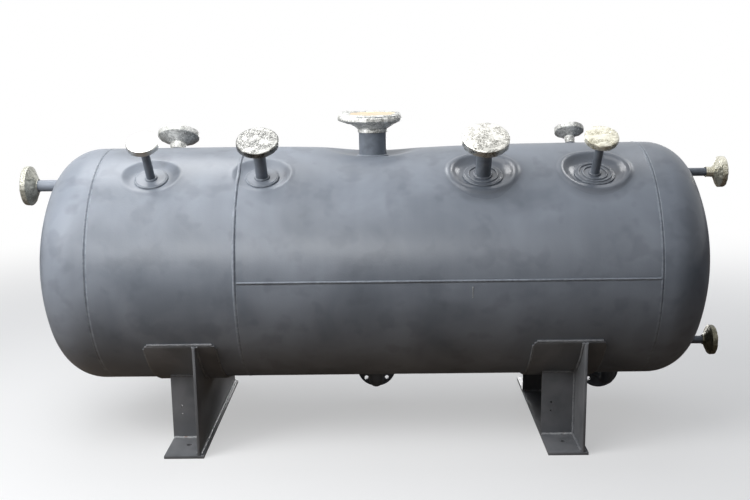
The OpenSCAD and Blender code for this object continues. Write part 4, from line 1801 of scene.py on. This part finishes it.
BOWLS = (0.6, -0.25, 1.05)
PAINTED_BOWLS = ("rolled_long_course", "dished_pads", "nozzle_fillets")
HIGH_FOIL = ("upper_crumpled_foil",)
SATIN_SHELL = ("rolled_short_course", "rolled_long_course", "dished_left_head")
LAMPS = (
    Softbox("key", (-1.2, -1.6, 3.2), (2.4, 2.0), 58),
    Softbox("left_fill", (-2.6, -1.6, 2.1), (1.6, 1.6), 46),
    Softbox("overhead_rear", (0.0, 1.2, 4.2), (5.0, 2.6), 44),
    Softbox("rear_fill", (0.8, 4.4, 0.62), (3.4, 0.8), 60),
    # Two bright strips that only show as gleams in the glossy paint of the bowls.
    Softbox("gleam_strip", (-1.6, 1.1, 4.4), (2.4, 1.5), 95, BOWLS, gleams=True),
    Softbox("gleam_side", (3.0, 1.75, 4.4), (1.4, 1.2), 45, BOWLS, True, PAINTED_BOWLS),
    # A low reflector that only lights the foil above the shell from below.
    Softbox("foil_reflector", (-3.5, -2.5, 0.6), (2.0, 1.0), 110, (-0.3, 0.2, 1.2), False, HIGH_FOIL),
    # A pale band at the horizon that only shows in the satin paint of the shell, above its middle.
    Softbox("horizon_band", (-1.5, -8.0, 4.1), (4.0, 2.2), 400, (-0.4, -0.46, 0.8), True, SATIN_SHELL),
)


@dataclass(frozen=True)
class Studio:
    """Floor, soft lights, white surroundings and the photo's camera."""

    camera_at: Place = (0.048, -3.736, 1.459)
    yaw_deg: float = -0.691
    pitch_deg: float = 11.451
    roll_deg: float = -0.824
    lens_mm: float = 45.5
    sensor_mm: float = 36
    floor_width: float = 60
    low_sky: str = "#3a3835"
    high_sky: str = "#b9c4d4"
    sky_share: float = 0.3

    def floor(self) -> None:
        """Lays the floor."""
        bpy.ops.mesh.primitive_plane_add(size=self.floor_width)
        floor = bpy.context.object
        floor.name = "floor"
        floor.data.materials.append(FLOOR.material())

    def world(self) -> None:
        """Makes the surroundings white to look at and a dim sky to be lit by."""
        world = bpy.data.worlds.new("white_surroundings")
        bpy.context.scene.world = world
        world.use_nodes = True
        world.node_tree.nodes.clear()
        graph = Graph(world.node_tree)
        way = graph.add("TexCoord").outputs["Generated"]
        up = graph.spread(graph.add("SeparateXYZ", {0: way}).outputs[2], 0.05, 0.6)
        sky = graph.tint(up, self.low_sky, self.high_sky)
        lit = graph.add("Background", {"Color": sky, "Strength": self.sky_share}).outputs[0]
        white = graph.add("Background", {"Color": linear("#ffffff"), "Strength": 1.0}).outputs[0]
        # Rays that show the background see white, and those that light the object see the sky.
        rays = graph.add("LightPath").outputs
        mirrored = graph.reckon("ADD", rays["Is Camera Ray"], rays["Is Glossy Ray"])
        direct = graph.reckon("ADD", mirrored, rays["Is Transmission Ray"], use_clamp=True)
        shown = graph.add("MixShader", {0: direct, 1: lit, 2: white}).outputs[0]
        graph.add("OutputWorld", {"Surface": shown})

    def camera(self) -> None:
        """Sets the camera at the photo's view."""
        yaw, pitch, roll = (math.radians(a) for a in (self.yaw_deg, self.pitch_deg, self.roll_deg))
        level_share = math.cos(pitch)
        ahead = Vector((math.sin(yaw) * level_share, math.cos(yaw) * level_share, -math.sin(pitch)))
        level = Vector((math.cos(yaw), -math.sin(yaw), 0))
        over = level.cross(ahead)
        right = math.cos(roll) * level + math.sin(roll) * over
        up = -math.sin(roll) * level + math.cos(roll) * over
        bpy.ops.object.camera_add()
        camera = bpy.context.object
        camera.data.lens = self.lens_mm
        camera.data.sensor_width = self.sensor_mm
        turned = Matrix((right, up, -ahead)).transposed().to_4x4()
        camera.matrix_world = Matrix.Translation(self.camera_at) @ turned
        bpy.context.scene.camera = camera
        bpy.context.scene.view_settings.view_transform = "Standard"

    def build(self) -> None:
        """Sets the whole stage."""
        self.floor()
        for lamp in LAMPS:
            lamp.hang()
        self.world()
        self.camera()


def shell_nozzles() -> list[ShellNozzle]:
    """Lists the nozzles on the shell.

    Returns:
        Six side nozzles in pads and the crown nozzle.
    """
    sharp = {"depth": 20, "floor_reach": 72, "flare": 0.0081, "soft": 1.5, "tilt": 0.14}
    # The right pair's bowls get the glossier touch-up and painted shade.
    sharp |= {"lip": 5, "lip_span": 10, "fresh": 1.0}
    plan = (
        ("front_outer_left", Bore.SMALL, Dent(-820, 34), SMOOTH_FOIL, {"crumple": 0.7}),
        ("front_inner_left", Bore.MEDIUM, Dent(-408, 34), FINE_FOIL, {"crumple": 0.8}),
        (
            "front_inner_right",
            Bore.LARGE,
            Dent(408, 34, **sharp),
            WHITE_FOIL,
            {"crumple": 2.4, "dome": 8, "passes": (54,)},
        ),
        (
            "front_outer_right",
            Bore.SMALL,
            Dent(820, 34, **sharp),
            CREAM_FOIL,
            {"crumple": 2.6, "dome": 3, "passes": (60, 44)},
        ),
        ("rear_left", Bore.LARGE, Dent(-820, -29, tilt=0.0), GREY_FOIL, {"crumple": 2.2}),
        ("rear_right", Bore.SMALL, Dent(820, -29, tilt=0.0), GREY_FOIL, {"crumple": 2.4}),
    )
    shell = DATUM.radius / MM
    nozzles = []
    for name, bore, dent, foil, looks in plan:
        in_front = dent.angle_deg > 0
        nozzles.append(
            ShellNozzle(
                name=name,
                bore=bore,
                frame=DATUM.on_shell(dent.x * MM, dent.angle_deg),
                face=shell + (FRONT_REACH if in_front else REAR_REACH),
                foot=shell - SIDE_NECK,
                collar=6 if in_front else 30,
                wrap=Wrap.TIGHT if in_front else Wrap.TENTED,
                foil_finish=foil,
                dent=dent,
                pad=LEFT_PAD if dent.x < 0 else RIGHT_PAD,
                **looks,
            )
        )
    nozzles.append(
        ShellNozzle(
            name="crown",
            bore=Bore.CROWN,
            frame=DATUM.on_shell(0, 0),
            face=shell + CROWN_REACH,
            foot=shell - CROWN_NECK,
            collar=14,
            wrap=Wrap.TENTED,
            crumple=2.2,
            cover=COVER_FOIL,
            shoulder=6,
            flaps=(Flap(180, 38, (-24, 0, 2), 34), Flap(90, 75, (0, 5, 9), 40)),
            dent=Dent(0, 0, depth=42, bowl=400, flare=0, soft=6, lip=0, tilt=0, reach=230, sag=13),
            pad=0,
        )
    )
    return nozzles


def end_nozzles() -> list[EndNozzle]:
    """Lists the nozzles through the heads.

    Returns:
        One nozzle on the left head and two on the right.
    """
    plan = (
        # The lit left-end neck takes the lighter plate paint as painted light.
        ("left_end", Bore.MEDIUM, Side.LEFT, 316, 3, OLIVE_FOIL, {"crumple": 2.2, "paint": PLATE_PAINT}),
        ("right_upper", Bore.SMALL, Side.RIGHT, 338, 30, CREAM_FOIL, {"crumple": 2.2}),
        ("right_lower", Bore.SMALL, Side.RIGHT, -350, 6, DARK_FOIL, {"crumple": 1.8}),
    )
    nozzles = []
    for name, bore, side, rise, collar, foil, looks in plan:
        low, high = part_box(f"{name}_flange")
        face = max(abs(low[0]), abs(high[0])) / MM
        nozzles.append(
            EndNozzle(
                name=name,
                bore=bore,
                frame=DATUM.on_end(side, rise * MM),
                face=face,
                foot=face - END_NECK,
                collar=collar,
                wrap=Wrap.TENTED,
                foil_finish=foil,
                side=side,
                rise=rise,
                **looks,
            )
        )
    return nozzles


def build_nozzles(
    on_shell: list[ShellNozzle], on_heads: list[EndNozzle], outlets: list[Outlet]
) -> None:
    """Models all nozzles and outlets with their pads, welds and foil.

    Args:
        on_shell: Nozzles on the shell.
        on_heads: Nozzles through the heads.
        outlets: Drains under the shell.
    """
    for nozzle in (*on_shell, *on_heads):
        nozzle.neck()
        coat(frame["nodes"][f"{nozzle.name}_flange"], PIPE_PAINT)
    for outlet in outlets:
        outlet.elbow()
        outlet.flange()
    bowls = [nozzle.dent for nozzle in on_shell]
    pads = join([n.plate() for n in on_shell if n.pad])
    mark_gloss_and_bowl_shade(pads, bowls)
    dress(pads, "dished_pads", PLATE_PAINT, "reinforcing_pads")
    beads = [bead for source in (*on_shell, *on_heads, *outlets) for bead in source.welds()]
    lumpy = join(beads)
    roughen(lumpy, clouds(10), 2.4)
    mark_gloss_and_bowl_shade(lumpy, bowls)
    dress(lumpy, "nozzle_fillets", WELD_PAINT, "nozzle_welds", sharp_deg=70)
    groups = {
        "front": [n for n in on_shell if n.dent.angle_deg > 0],
        "upper": [n for n in on_shell if n.dent.angle_deg <= 0],
        "end": on_heads,
    }
    for name, group in groups.items():
        wraps = join([nozzle.foil() for nozzle in group])
        mount(wraps, f"{name}_crumpled_foil", "foil", f"{name}_foil_wraps", sharp_deg=18)


def main() -> None:
    """Builds the vessel, its nozzles, outlets and saddles, and the stage round them."""
    logging.basicConfig(level=logging.INFO, format="%(name)s: %(message)s")
    on_shell = shell_nozzles()
    Vessel([nozzle.dent for nozzle in on_shell]).build()
    outlets = [Outlet("middle_outlet", 0), Outlet("right_outlet", 955)]
    build_nozzles(on_shell, end_nozzles(), outlets)
    for side in Side:
        Saddle(side).build()
    Studio().build()


if __name__ == "__main__":
    main()
